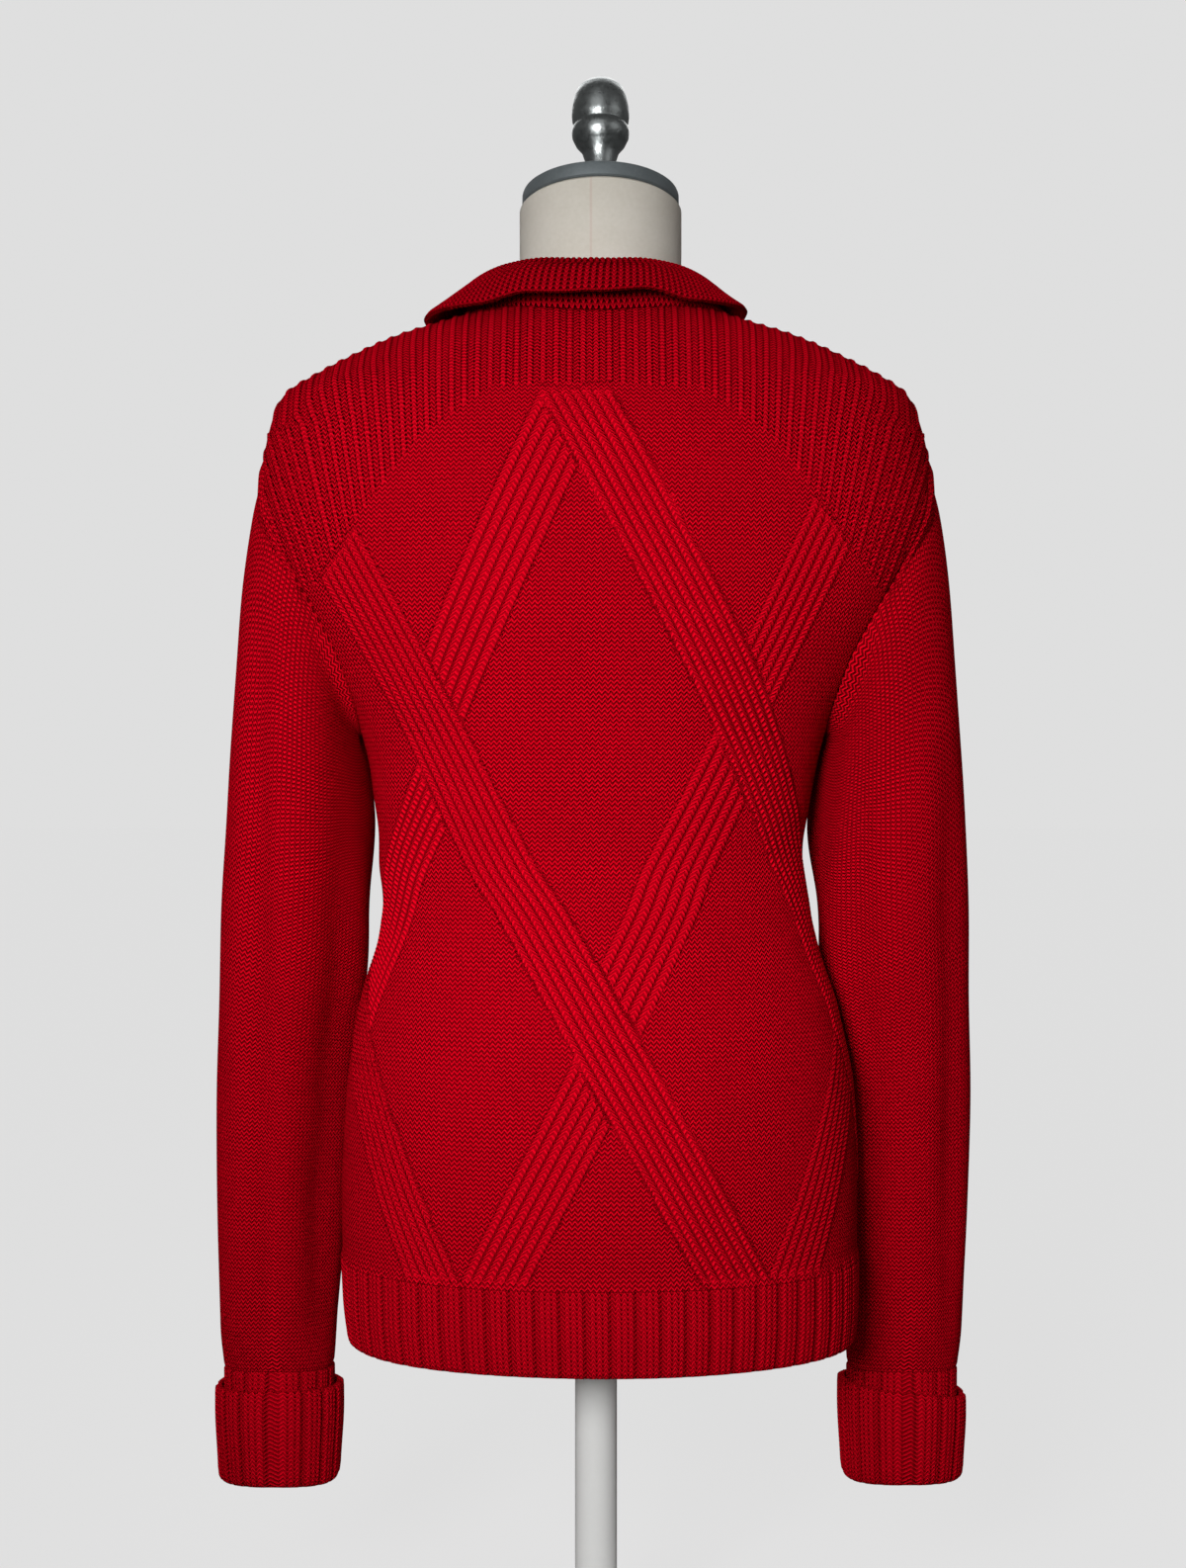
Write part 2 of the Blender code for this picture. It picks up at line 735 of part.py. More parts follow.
def near_points(chart, first):
    """Each loose point of a chart as a line of its own, to keep the filler off it."""
    return [(n, n) for n in range(first, len(chart.places))]


def back_lines(chart):
    """Ribs of the back: yoke and lattice."""
    yoke = [rib_path(chart, x, rise, YOKE_BACK) for x, rise in rib_places()]
    return [line for line in yoke if len(line) > 1] + lattice(chart)


def front_lines(chart):
    """Ribs of the front: the yoke alone."""
    yoke = [rib_path(chart, x, rise, YOKE_FRONT) for x, rise in rib_places()]
    return [line for line in yoke if len(line) > 1]


# --- Hem, sleeves and cuffs ------------------------------------------------------------------------
RIB_PROFILE = ((0.00, 0.0), (0.20, 1.0), (0.70, 1.0), (0.90, 0.0))  # share of a repeat, share of rise


def rib_shares(repeats):
    """Shares and rises of a row of wide ribs."""
    return [((k + share) / repeats, high) for k in range(repeats) for share, high in RIB_PROFILE]


def hem_rib(name, finish, back):
    """Half of the hem's rib, between the side seams."""
    shift = seam_shift(back)
    ribbed = [*rib_shares(HEM_REPEATS), (1.0, 0.0)]
    plain = [(i / 32, 0.0) for i in range(33)]
    halves = [(i / (2 * HEM_REPEATS), 0.0) for i in range(2 * HEM_REPEATS + 1)]

    def row(shares, height, lift, rise):
        seam = arc_at_y(height, 0.0) + shift
        span = seam if back else girth(height) - seam
        points = []
        for share, high in shares:
            across = span * (2 * share - 1)
            along = abs(across) if back else girth(height) - abs(across)
            side = math.copysign(1, across)
            direction = level(normal_at(along, side, height))
            points.append((share, surface(along, side, height) + direction * (lift + rise * high)))
        return points

    top, bottom = HEM_TOP - SEAM / 2, HEM_BOTTOM
    rows = [
        row(ribbed, bottom + 0.0012, -0.0004, RISE),
        row(ribbed, top, 0.0, RISE),
        row(halves, top, -WALL, 0.0),
        row(plain, bottom, -WALL, 0.0),
    ]
    return wall_of_rows(name, finish, rows, closed=False)


# Sections of the sleeve below its seam: its outer and inner side in the view from behind, how far its
# middle lies in front, half its depth, and how square it is (2 is an ellipse).
Ring = namedtuple(
    "Ring", "outer_x outer_height inner_x inner_height forward half_depth square", defaults=(2.0,)
)
SLEEVE = (
    Ring(0.1992, 0.7130, 0.1408, 0.5540, 0.001, 0.0535),
    Ring(0.2048, 0.6900, 0.1405, 0.5420, 0.002, 0.0545),
    Ring(0.2105, 0.6500, 0.1392, 0.5220, 0.004, 0.0545),
    Ring(0.2150, 0.6050, 0.1372, 0.4990, 0.007, 0.0535),
    Ring(0.2195, 0.5530, 0.1355, 0.4740, 0.011, 0.0520),
    Ring(0.2230, 0.5000, 0.1352, 0.4450, 0.017, 0.0505),
    Ring(0.2265, 0.4400, 0.1372, 0.4080, 0.026, 0.0490),
    Ring(0.2292, 0.3700, 0.1435, 0.3560, 0.038, 0.0460),
    Ring(0.2302, 0.2900, 0.1490, 0.2850, 0.046, 0.0420),
    Ring(0.2282, 0.2090, 0.1545, 0.2090, 0.049, 0.0350, 2.3),
    Ring(0.2240, 0.1743, 0.1572, 0.1743, 0.048, 0.0275, 2.8),
)
# Long soft troughs of the sleeves: side, share of a turn from the outer side by way of the back at the
# top and at the bottom, top and bottom of the trough, its depth and its half width as a share of a turn.
Trough = namedtuple("Trough", "side turn_top turn_bottom top bottom depth half_width")
TROUGHS = (
    Trough(-1, 0.150, 0.200, 0.640, 0.185, 0.0050, 0.045),
    Trough(-1, 0.310, 0.330, 0.560, 0.300, 0.0030, 0.050),
    Trough(1, 0.330, 0.300, 0.600, 0.260, 0.0045, 0.050),
    Trough(1, 0.120, 0.140, 0.480, 0.190, 0.0025, 0.045),
    Trough(-1, 0.700, 0.730, 0.600, 0.240, 0.0040, 0.055),
    Trough(1, 0.760, 0.720, 0.560, 0.220, 0.0040, 0.055),
)
SWING = {-1: 0.0040, 1: -0.0025}  # how far the cuff hangs outwards of the table's place
SLEEVE_COLUMNS = 2 * ARM_STATIONS


def swing(side, height):
    """How far a sleeve is moved outwards at a height."""
    return SWING[side] * min(max((0.52 - height) / (0.52 - 0.17), 0.0), 1.0)


def trough_depth(side, turn, height):
    """How deep the sleeve's troughs are at a place."""
    depth = 0.0
    for trough in TROUGHS:
        if trough.side == side and trough.bottom < height < trough.top:
            share = (trough.top - height) / (trough.top - trough.bottom)
            middle = trough.turn_top + (trough.turn_bottom - trough.turn_top) * share
            across = (turn - middle) / trough.half_width
            depth += trough.depth * math.sin(math.pi * share) ** 0.5 * math.exp(-across * across)
    return depth


def squared(turn, square):
    """Cosine and sine of a turn, drawn out towards the corners of a square."""
    c, s = math.cos(turn), math.sin(turn)
    return math.copysign(abs(c) ** (2 / square), c), math.copysign(abs(s) ** (2 / square), s)


def sleeve_ring(ring, side, columns):
    """Outer points of one section of a sleeve, from its outer side round by the back."""
    outer = Vector((side * (ring.outer_x + swing(side, ring.outer_height)), ring.forward, ring.outer_height))
    inner = Vector((side * (ring.inner_x + swing(side, ring.inner_height)), ring.forward, ring.inner_height))
    middle, half = (outer + inner) / 2, (outer - inner) / 2
    points = []
    for k in range(columns):
        out, back = squared(2 * math.pi * k / columns, ring.square)
        point = middle + half * out + Vector((0, -ring.half_depth * back, 0))
        inwards = (middle - point).normalized()
        point = point + inwards * trough_depth(side, k / columns, point.z)
        if HEM_BOTTOM - 0.01 < point.z < ARM_TOP:
            reach = side_x(point.z, point.y) + side * smooth(BODY, "sway", round(point.z, 6))
            reach += RISE + CLEAR
            if side * point.x < reach:
                point.x = side * reach
        points.append(point)
    return points


def offset_rings(rings, depth):
    """The rings moved into the wall by a depth, along the tube's own normals."""
    moved = []
    for k, ring in enumerate(rings):
        before, after = rings[max(k - 1, 0)], rings[min(k + 1, len(rings) - 1)]
        count = len(ring)
        new = []
        for i, point in enumerate(ring):
            around = ring[(i + 1) % count] - ring[i - 1]
            along = after[i] - before[i]
            normal = around.cross(along).normalized()
            middle = sum(ring, Vector()) / count
            if normal.dot(point - middle) < 0:
                normal.negate()
            new.append(point - normal * depth)
        moved.append(new)
    return moved


def sleeve(name, finish, side):
    """A sleeve, from the armhole to the seam of its cuff."""
    edge, thickness = [], []
    for k in range(SLEEVE_COLUMNS):
        back = k <= ARM_STATIONS
        step = k if back else SLEEVE_COLUMNS - k
        point, direction = armhole_point(step, side, back)
        edge.append(point)
        thickness.append(direction)
    middle = sum(edge, Vector()) / len(edge)
    start = []
    for point, direction in zip(edge, thickness):
        inwards = middle - point
        inwards = (inwards - direction * inwards.dot(direction)).normalized()
        start.append(point + inwards * SEAM)
    rings = [start] + [sleeve_ring(ring, side, SLEEVE_COLUMNS) for ring in SLEEVE]
    inner = offset_rings(rings, WALL)
    inner[0] = [point - direction * WALL for point, direction in zip(start, thickness)]
    shares = [k / SLEEVE_COLUMNS for k in range(SLEEVE_COLUMNS)]
    rows = [list(zip(shares, ring)) for ring in rings]
    rows += [list(zip(shares, ring)) for ring in reversed(inner)]
    return wall_of_rows(name, finish, rows, closed=True)


# Cuffs: the middle, bottom, height of the turned edge and how much higher that is on the inner side.
Cuff = namedtuple("Cuff", "side middle_x bottom edge slant")
CUFFS = (Cuff(-1, 0.1948, 0.1036, 0.1632, 0.0005), Cuff(1, 0.1882, 0.1050, 0.1622, 0.0050))
CUFF_FORWARD = 0.048
CUFF_HALF_WIDTH = 0.0334  # of the inner layer's outer face
CUFF_HALF_DEPTH = 0.0250
CUFF_SQUARE = 2.8
CUFF_LOOSE = 0.0012  # between the two layers
CUFF_TAPER = 0.0022  # how far the cuff draws in at its foot
SEAM_HEIGHT = 0.1740


def cuff(name, finish, spec):
    """A ribbed cuff turned up once: an inner layer down from the sleeve and an outer one up again."""
    ribbed = rib_shares(CUFF_RIBS)
    plain = [(k / 24, 0.0) for k in range(24)]

    def row(shares, height, out, rise, slant=0.0):
        points = []
        for share, high in shares:
            c, s = squared(2 * math.pi * share, CUFF_SQUARE)
            reach = out + rise * high - (CUFF_TAPER if height < low + 0.01 else 0.0)
            x = spec.middle_x + (CUFF_HALF_WIDTH + reach) * c
            y = CUFF_FORWARD - (CUFF_HALF_DEPTH + reach) * s
            points.append((share, Vector((spec.side * x, y, height - slant * c))))
        return points

    low, top, layer = spec.bottom, spec.edge, WALL + CUFF_LOOSE
    seam = SEAM_HEIGHT - SEAM
    slant = spec.slant
    rows = [
        row(ribbed, top, layer, RISE, slant),
        row(ribbed, low + 0.0045, layer - 0.0002, RISE),
        row(plain, low, layer / 2 - WALL / 2, 0.0),
        row(plain, low + 0.0045, -WALL, 0.0),
        row(plain, seam, -WALL, 0.0),
        row(ribbed, seam, -0.0006, RISE * 0.6),
        row(ribbed, top - 0.0060, -0.0006, RISE * 0.6),
        row(plain, low + 0.0055, 0.0, 0.0),
        row(plain, low + 0.0055, CUFF_LOOSE, 0.0),
        row(plain, top, CUFF_LOOSE, 0.0, slant),
    ]
    return wall_of_rows(name, finish, rows, closed=True)


# --- Collar and front opening ----------------------------------------------------------------------
# The collar at turns in degrees from the middle of the back, which stand in the column "height": how far
# its fold is above the neck seam and inside it, how far outside it the fall's edge is, and how far that
# edge is off the body's face, square to it and upwards.
Turn = namedtuple("Turn", "height fold_rise fold_in spread off up")
COLLAR_TURNS = (
    Turn(0.0, 0.0285, 0.0028, 0.0140, 0.0026, 0.0200),
    Turn(20.0, 0.0275, 0.0035, 0.0145, 0.0032, 0.0170),
    Turn(40.0, 0.0240, 0.0052, 0.0150, 0.0038, 0.0050),
    Turn(65.0, 0.0190, 0.0065, 0.0160, 0.0042, 0.0005),
    Turn(90.0, 0.0162, 0.0070, 0.0165, 0.0042, 0.0000),
    Turn(125.0, 0.0155, 0.0040, 0.0170, 0.0042, 0.0000),
    Turn(165.0, 0.0145, 0.0010, 0.0200, 0.0042, 0.0000),
)
COLLAR_END = 164.0
FOLD_SHIFT = Vector((-0.0030, 0, 0))  # the fold has slipped a little to the left
FALL_SHIFT = Vector((-0.0062, 0, 0))  # and the fall's edge more
COLLAR_WALL = 0.0026


def collar_guides(turn):
    """Points of the collar's middle line at a turn in degrees: seam, fold and fall edge, the direction
    outwards, and how far the fall bulges."""
    side, angle = math.copysign(1, turn), abs(turn)
    s, c = math.sin(math.radians(angle)), math.cos(math.radians(angle))
    neck_x, neck_depth = NECK_HALF * s, (-NECK_BACK if angle <= 90 else NECK_FRONT) * abs(c)

    def value(column):
        return smooth(COLLAR_TURNS, column, round(angle, 4))

    along, _, height = plan_point(side * max(neck_x, 1e-4), neck_depth)
    direction = neck_direction(side * neck_x, neck_depth, normal_at(along, side, height))
    outwards = Vector((side * s, -c, 0))
    base = surface(along, side, height) - direction * (WALL / 2) - outwards * 0.0006
    base += Vector((0, 0, 0.0009))
    fold = base + FOLD_SHIFT - outwards * value("fold_in") + Vector((0, 0, value("fold_rise")))
    edge = base + FALL_SHIFT + outwards * value("spread")
    along, edge_side, height = plan_point(edge.x, edge.y)
    off = normal_at(along, edge_side, height) * (value("off") + COLLAR_WALL / 2)
    fall = surface(along, edge_side, height) + off + Vector((0, 0, value("up")))
    return base, fold, fall, outwards, 1.1 * c * c - 0.1


def collar_middle(turn, share):
    """A point of the collar's middle surface; share runs from the neck seam over the fold to the edge."""
    base, fold, fall, outwards, bulge = collar_guides(turn)
    up = Vector((0, 0, 1))
    bend = 0.0042
    under = fold - outwards * bend * 0.5 - up * bend * 1.4
    guides = [
        base,
        base.lerp(under, 0.55) - outwards * 0.0004,
        under,
        fold,
        fold + outwards * bend * 1.4 - up * bend * 0.9,
        fold.lerp(fall, 0.55) + (outwards * 0.0035 + up * 0.0045) * bulge,
        fall,
    ]
    place = share * (len(guides) - 1)
    k = min(int(place), len(guides) - 2)
    t = place - k
    a, b, c, d = (guides[min(max(k + i, 0), len(guides) - 1)] for i in (-1, 0, 1, 2))
    return 0.5 * (2 * b + (c - a) * t + (2 * a - 5 * b + 4 * c - d) * t**2 + (3 * b - a - 3 * c + d) * t**3)


def collar_skin(turn, share, lift):
    """A point off the collar's middle surface; a positive lift is the fall's outer side."""
    around = collar_middle(turn + 0.8, share) - collar_middle(turn - 0.8, share)
    low, high = max(share - 0.012, 0.0), min(share + 0.012, 1.0)
    across = collar_middle(turn, high) - collar_middle(turn, low)
    return collar_middle(turn, share) + across.cross(around).normalized() * lift


def collar(name, finish):
    """The collar: a stand, rolled over at its fold into a fall that lies open at the front."""
    ribbed = [(k / (2 * COLLAR_RIBS), float(k % 2)) for k in range(2 * COLLAR_RIBS + 1)]
    wide = [(k / COLLAR_RIBS, float(k % 2)) for k in range(COLLAR_RIBS + 1)]
    plain = [(k / 40, 0.0) for k in range(41)]

    def row(shares, share, lift, rise=0.0):
        points = []
        for place, high in shares:
            turn = COLLAR_END * (2 * place - 1)
            points.append((place, collar_skin(turn, share, lift + math.copysign(rise * high, lift))))
        return points

    half, rise = COLLAR_WALL / 2, 0.0009
    rows = [
        row(ribbed, 1.00, half, rise),
        row(ribbed, 0.66, half, rise),
        row(plain, 0.52, half),
        row(plain, 0.40, half),
        row(plain, 0.17, half),
        row(plain, 0.00, half),
        row(wide, 0.00, -half, rise),
        row(wide, 0.17, -half, rise),
        row(plain, 0.33, -half),
        row(plain, 0.50, -half),
        row(plain, 0.66, -half),
        row(plain, 1.00, -half),
    ]
    return wall_of_rows(name, finish, rows, closed=False)


PLACKET_HALF = 0.0150
PLACKET_TOP = 0.7480
PLACKET_BOTTOM = 0.6260
PLACKET_LIFT = 0.0006
BUTTONS = (0.7260, 0.6890, 0.6520)
BUTTON_RADIUS = 0.0062
BUTTON_THICK = 0.0024


def front_skin(across, height, lift):
    """A point of the front's face, lifted."""
    along, side = girth(height) - abs(across), math.copysign(1, across)
    return surface(along, side, height) + normal_at(along, side, height) * lift


def placket(name, finish):
    """The short band that closes the front, laid on the front panel."""
    steps, columns = 9, 5
    heights = [PLACKET_BOTTOM + (PLACKET_TOP - PLACKET_BOTTOM) * i / (steps - 1) for i in range(steps)]

    def row(height, lift):
        acrosses = [PLACKET_HALF * (2 * k / (columns - 1) - 1) for k in range(columns)]
        return [(k / (columns - 1), front_skin(a, height, lift)) for k, a in enumerate(acrosses)]

    rows = [row(height, PLACKET_LIFT + WALL + RISE) for height in heights]
    rows += [row(height, PLACKET_LIFT + RISE) for height in reversed(heights)]
    return wall_of_rows(name, finish, rows, closed=False)


def turned(name, finish, profile, steps, place, round_angle=50):
    """A turned piece: (radius, height) from its foot to its top, both ends on its axis or closed flat."""
    rows, points, faces = [], [], []
    for radius, height in profile:
        start = len(points)
        if radius < 1e-6:
            points.append(place @ Vector((0, 0, height)))
            rows.append([start])
            continue
        for k in range(steps):
            turn = 2 * math.pi * k / steps
            points.append(place @ Vector((radius * math.cos(turn), radius * math.sin(turn), height)))
        rows.append(list(range(start, start + steps)))
    for low, high in zip(rows, rows[1:]):
        for k in range(steps):
            after = (k + 1) % steps
            if len(low) == 1:
                faces.append((low[0], high[after], high[k]))
            elif len(high) == 1:
                faces.append((low[k], low[after], high[0]))
            else:
                faces.append((low[k], low[after], high[after], high[k]))
    for row in (rows[0], rows[-1]):
        if len(row) > 1:
            faces.append(row)
    return solid(name, finish, points, faces, round_angle)


def button(name, finish, height):
    """A plain round button with a rim, on the placket."""
    lift = PLACKET_LIFT + RISE + WALL + SEAM
    foot = front_skin(0.0, height, lift)
    outwards = (front_skin(0.0, height, lift + 0.01) - foot).normalized()
    place = Matrix.Translation(foot) @ outwards.to_track_quat("Z", "Y").to_matrix().to_4x4()
    rim, top = BUTTON_RADIUS, BUTTON_THICK
    profile = [
        (rim * 0.85, 0.0),
        (rim, top * 0.5),
        (rim * 0.93, top),
        (rim * 0.74, top * 0.90),
        (rim * 0.62, top * 0.66),
    ]
    return turned(name, finish, profile, 16, place)


# --- Dress form and stand --------------------------------------------------------------------------
# The form under the cloth: how far its side draws in from the cloth's inner face at a height.
Inset = namedtuple("Inset", "height side gap")
FORM = (
    Inset(0.190, 0.0000, 0.0030),
    Inset(0.550, 0.0000, 0.0030),
    Inset(0.580, 0.0060, 0.0030),
    Inset(0.627, 0.0240, 0.0030),
    Inset(0.655, 0.0320, 0.0030),
    Inset(0.690, 0.0310, 0.0028),
    Inset(0.725, 0.0200, 0.0028),
    Inset(0.740, 0.0140, 0.0026),
    Inset(0.755, 0.0090, 0.0022),
    Inset(0.774, 0.0040, FORM_GAP),
    Inset(0.784, 0.0020, 0.0026),
    Inset(0.795, 0.0020, 0.0040),
    Inset(0.820, 0.0020, 0.0040),
)
FORM_HEIGHTS = (
    FORM_BOTTOM, 0.250, 0.300, 0.350, 0.400, 0.440, 0.480, 0.520, 0.560, 0.600, 0.640, 0.680, 0.715,
    0.738, 0.752, 0.762, 0.772, 0.782, 0.792, 0.799,
)  # fmt: skip
NECK_RINGS = ((0.8050, 0.0590, 0.0470), (0.8160, 0.0510, 0.0470))
NECK_HALF_DEPTH = 0.0480


def form(name, finish):
    """The dress form's body and neck, cut off slantwise under its cap."""
    columns = 24
    rings = []
    for height in FORM_HEIGHTS:
        inset = smooth(FORM, "side", height)
        depth = WALL + smooth(FORM, "gap", height)
        ring = []
        for k in range(columns):
            side = 1 if k <= columns // 2 else -1
            share = (k if side > 0 else columns - k) / (columns // 2)
            along = share * girth(height)
            point = surface(along, side, height) - normal_at(along, side, height) * depth
            width = smooth(BODY, "half_width", height)
            point.x *= 1 - inset / width * min(abs(point.x) / width, 1.0)
            if height == FORM_BOTTOM:
                point.z = FORM_BOTTOM
            ring.append(point)
        rings.append(ring)

    def oval(height, half_x, half_y, tilt=0.0):
        ring = []
        for k in range(columns):
            turn = 2 * math.pi * k / columns
            x, y = half_x * math.sin(turn), -half_y * math.cos(turn)
            ring.append(Vector((NECK_SHIFT + x, y - 0.002, height - math.tan(tilt) * y)))
        return ring

    rings += [oval(*ring) for ring in NECK_RINGS]
    rings.append(oval(0.8450, NECK_RADIUS, NECK_HALF_DEPTH))
    cut = CAP_TOP - CAP_THICK / math.cos(CAP_TILT) - SEAM * 1.5
    rings.append(oval(cut, NECK_RADIUS - 0.0006, NECK_HALF_DEPTH - 0.0006, CAP_TILT))
    points = [point for ring in rings for point in ring]
    faces = []
    for k in range(len(rings) - 1):
        for i in range(columns):
            j = (i + 1) % columns
            low, high = k * columns, (k + 1) * columns
            faces.append((low + i, low + j, high + j, high + i))
    faces.append(list(range(columns)))
    faces.append(list(range(len(points) - columns, len(points))))
    return solid(name, finish, points, faces)


def neck_frame():
    """The slanted frame of the neck's top: its origin is the middle of the cap's upper face."""
    return Matrix.Translation((NECK_SHIFT, -0.002, CAP_TOP)) @ Matrix.Rotation(-CAP_TILT, 4, "X")


def neck_cap(name, finish):
    """The cast plate on the neck, with a rounded upper edge."""
    rim, thick = CAP_RADIUS, CAP_THICK
    profile = [
        (rim - 0.0010, -thick),
        (rim, -thick + 0.0010),
        (rim, -0.0014),
        (rim - 0.0012, -0.0002),
        (rim - 0.0035, 0.0),
    ]
    return turned(name, finish, profile, 36, neck_frame())


def finial(name, finish):
    """The turned knob on the plate: a foot, two beads with a groove between them, and a round top."""
    top = 0.0730
    profile = [
        (0.0112, SEAM),
        (0.0112, 0.0030),
        (0.0094, 0.0060),
        (0.0092, 0.0220),
        (0.0108, 0.0275),
        (0.0150, 0.0330),
        (0.0170, 0.0385),
        (0.0170, 0.0415),
        (0.0157, 0.0450),
        (0.0170, 0.0485),
        (0.0172, 0.0520),
        (0.0166, 0.0575),
        (0.0146, 0.0640),
        (0.0098, 0.0705),
        (0.0, top),
    ]
    return turned(name, finish, profile, 18, neck_frame())


def stand(pole_name, base_name, finish, foot_finish):
    """The pole under the form and the round base that everything stands on."""
    foot = BASE_THICK + SEAM
    pole = [
        (POLE_RADIUS, foot),
        (POLE_RADIUS, FORM_BOTTOM - 0.0065 - SEAM),
        (POLE_RADIUS + 0.0120, FORM_BOTTOM - 0.0055 - SEAM),
        (POLE_RADIUS + 0.0120, FORM_BOTTOM - SEAM),
    ]
    turned(pole_name, finish, pole, 24, Matrix.Identity(4), 30)
    base = [
        (BASE_RADIUS, 0.0),
        (BASE_RADIUS, BASE_THICK * 0.45),
        (BASE_RADIUS - 0.0030, BASE_THICK * 0.75),
        (BASE_RADIUS - 0.0080, BASE_THICK * 0.85),
        (POLE_RADIUS + 0.0160, BASE_THICK),
    ]
    turned(base_name, foot_finish, base, 40, Matrix.Identity(4), 30)


def main():
    for item in list(bpy.data.objects):
        bpy.data.objects.remove(item, do_unlink=True)

    def wool(name):
        return material(name, WOOL, 0.92)

    panel("back_panel", wool("wool_back"), True, back_lines)
    panel("front_panel", wool("wool_front"), False, front_lines)
    hem_rib("hem_rib_back", wool("wool_hem_back"), True)
    hem_rib("hem_rib_front", wool("wool_hem_front"), False)
    for side, hand in ((-1, "left"), (1, "right")):
        sleeve(f"sleeve_{hand}", wool(f"wool_sleeve_{hand}"), side)
    for spec in CUFFS:
        hand = "left" if spec.side < 0 else "right"
        cuff(f"cuff_{hand}", wool(f"wool_cuff_{hand}"), spec)
    collar("collar", wool("wool_collar"))
    placket("placket", wool("wool_placket"))
    for number, height in enumerate(BUTTONS, 1):
        button(f"button_{number}", material(f"horn_{number}", HORN, 0.35), height)
    form("form_body", material("linen", LINEN, 0.85))
    neck_cap("neck_cap", material("cast_metal", STEEL, 0.45, 1.0))
    finial("finial", material("turned_metal", STEEL, 0.35, 1.0))
    stand(
        "stand_pole",
        "stand_base",
        material("painted_pole", PALE_PAINT, 0.42),
        material("painted_base", PALE_PAINT, 0.48),
    )


main()
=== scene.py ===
"""Looks of a polo sweater of thick red knit, seen from behind on its dress form.

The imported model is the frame. Every piece of cloth is made again here as a closed wall on the same
surfaces, with its ribs, wales, rolled edges and soft creases, and the form, cap, finial, buttons and stand
get their details and finishes. Metres, +Z up, the sweater's back faces -Y.
"""

import json
import logging
import math
from collections.abc import Sequence
from dataclasses import dataclass, field
from enum import Enum

import bmesh
import bpy
import numpy as np
from mathutils import Matrix, Vector

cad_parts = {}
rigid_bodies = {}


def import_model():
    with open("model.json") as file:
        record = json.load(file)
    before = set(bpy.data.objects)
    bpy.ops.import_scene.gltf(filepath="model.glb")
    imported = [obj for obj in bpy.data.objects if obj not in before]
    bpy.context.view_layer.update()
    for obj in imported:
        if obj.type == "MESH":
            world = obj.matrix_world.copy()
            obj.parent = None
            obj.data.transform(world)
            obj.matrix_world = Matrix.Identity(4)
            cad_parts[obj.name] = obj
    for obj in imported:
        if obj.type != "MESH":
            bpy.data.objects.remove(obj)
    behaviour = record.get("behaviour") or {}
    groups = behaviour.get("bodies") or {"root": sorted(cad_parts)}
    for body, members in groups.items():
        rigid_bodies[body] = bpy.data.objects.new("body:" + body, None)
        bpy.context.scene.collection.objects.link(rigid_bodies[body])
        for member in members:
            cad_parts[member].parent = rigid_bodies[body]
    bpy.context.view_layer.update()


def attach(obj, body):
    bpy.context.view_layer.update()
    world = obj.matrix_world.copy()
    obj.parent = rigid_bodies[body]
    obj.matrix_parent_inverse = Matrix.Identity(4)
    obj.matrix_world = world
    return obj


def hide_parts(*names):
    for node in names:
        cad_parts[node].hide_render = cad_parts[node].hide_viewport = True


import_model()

LOG = logging.getLogger("sweater")
Array = np.ndarray
Value = float | bpy.types.NodeSocket  # what a node's input takes

WALL = 0.0030  # thickness of the knit
SEAM = 0.0003  # gap at a seam
RISE = 0.0014  # height of a rib
WIDE_REPEAT = 0.0150  # one group of three wales and the sunken band beside it
FIRST_WALE, WALE_SHARE = 0.06, 0.2533  # where the three wales start and how wide each is, in repeats
NARROW_REPEAT = 0.0040  # one rib of the collar
BAND_GAP = 0.0022  # plain cloth beside a band of ribs, where another one ends
CLEAR = 0.0010  # space between a sleeve and the body
HEM_TOP = 0.2500
HEM_BOTTOM = 0.2015
WAIST = 0.4700
UNDERARM = 0.5600
ARM_TOP = 0.7270
ARM_HALF_DEPTH = 0.0520
NECK_HALF = 0.0790
NECK_BACK = 0.0600
NECK_FRONT = 0.0680
SHOULDER_FORWARD = 0.0100
RIGHT = np.array([1.0, 0.0, 0.0])


# --- Small mathematics -----------------------------------------------------------------------------
class Curve:
    """A smooth curve through rows of a table that never overshoots them."""

    def __init__(self, places: Sequence[float], values: Sequence[float]) -> None:
        """Fits the curve.

        Args:
            places: where the rows stand, rising.
            values: the value of each row.
        """
        self.places, self.values = np.array(places, float), np.array(values, float)
        steps = np.diff(self.places)
        rates = np.diff(self.values) / steps
        self.slopes = np.zeros(len(self.values))
        self.slopes[0], self.slopes[-1] = rates[0], rates[-1]
        for i in range(1, len(self.values) - 1):
            if rates[i - 1] * rates[i] > 0:
                before, after = 2 * steps[i] + steps[i - 1], steps[i] + 2 * steps[i - 1]
                self.slopes[i] = (before + after) / (before / rates[i - 1] + after / rates[i])

    def __call__(self, at: Array | float) -> Array:
        """The value at a place, or at many.

        Args:
            at: one place or an array of them.

        Returns:
            The values there.
        """
        at = np.asarray(at, float)
        i = np.clip(np.searchsorted(self.places, at) - 1, 0, len(self.places) - 2)
        step = self.places[i + 1] - self.places[i]
        t = np.clip((at - self.places[i]) / step, 0.0, 1.0)
        return (
            (2 * t**3 - 3 * t**2 + 1) * self.values[i]
            + (t**3 - 2 * t**2 + t) * step * self.slopes[i]
            + (3 * t**2 - 2 * t**3) * self.values[i + 1]
            + (t**3 - t**2) * step * self.slopes[i + 1]
        )


def ease(share: Array | float) -> Array:
    """A soft step from 0 to 1."""
    t = np.clip(share, 0.0, 1.0)
    return t * t * (3 - 2 * t)


def unit(vectors: Array) -> Array:
    """Vectors of length 1."""
    length = np.linalg.norm(vectors, axis=-1, keepdims=True)
    return vectors / np.maximum(length, 1e-12)


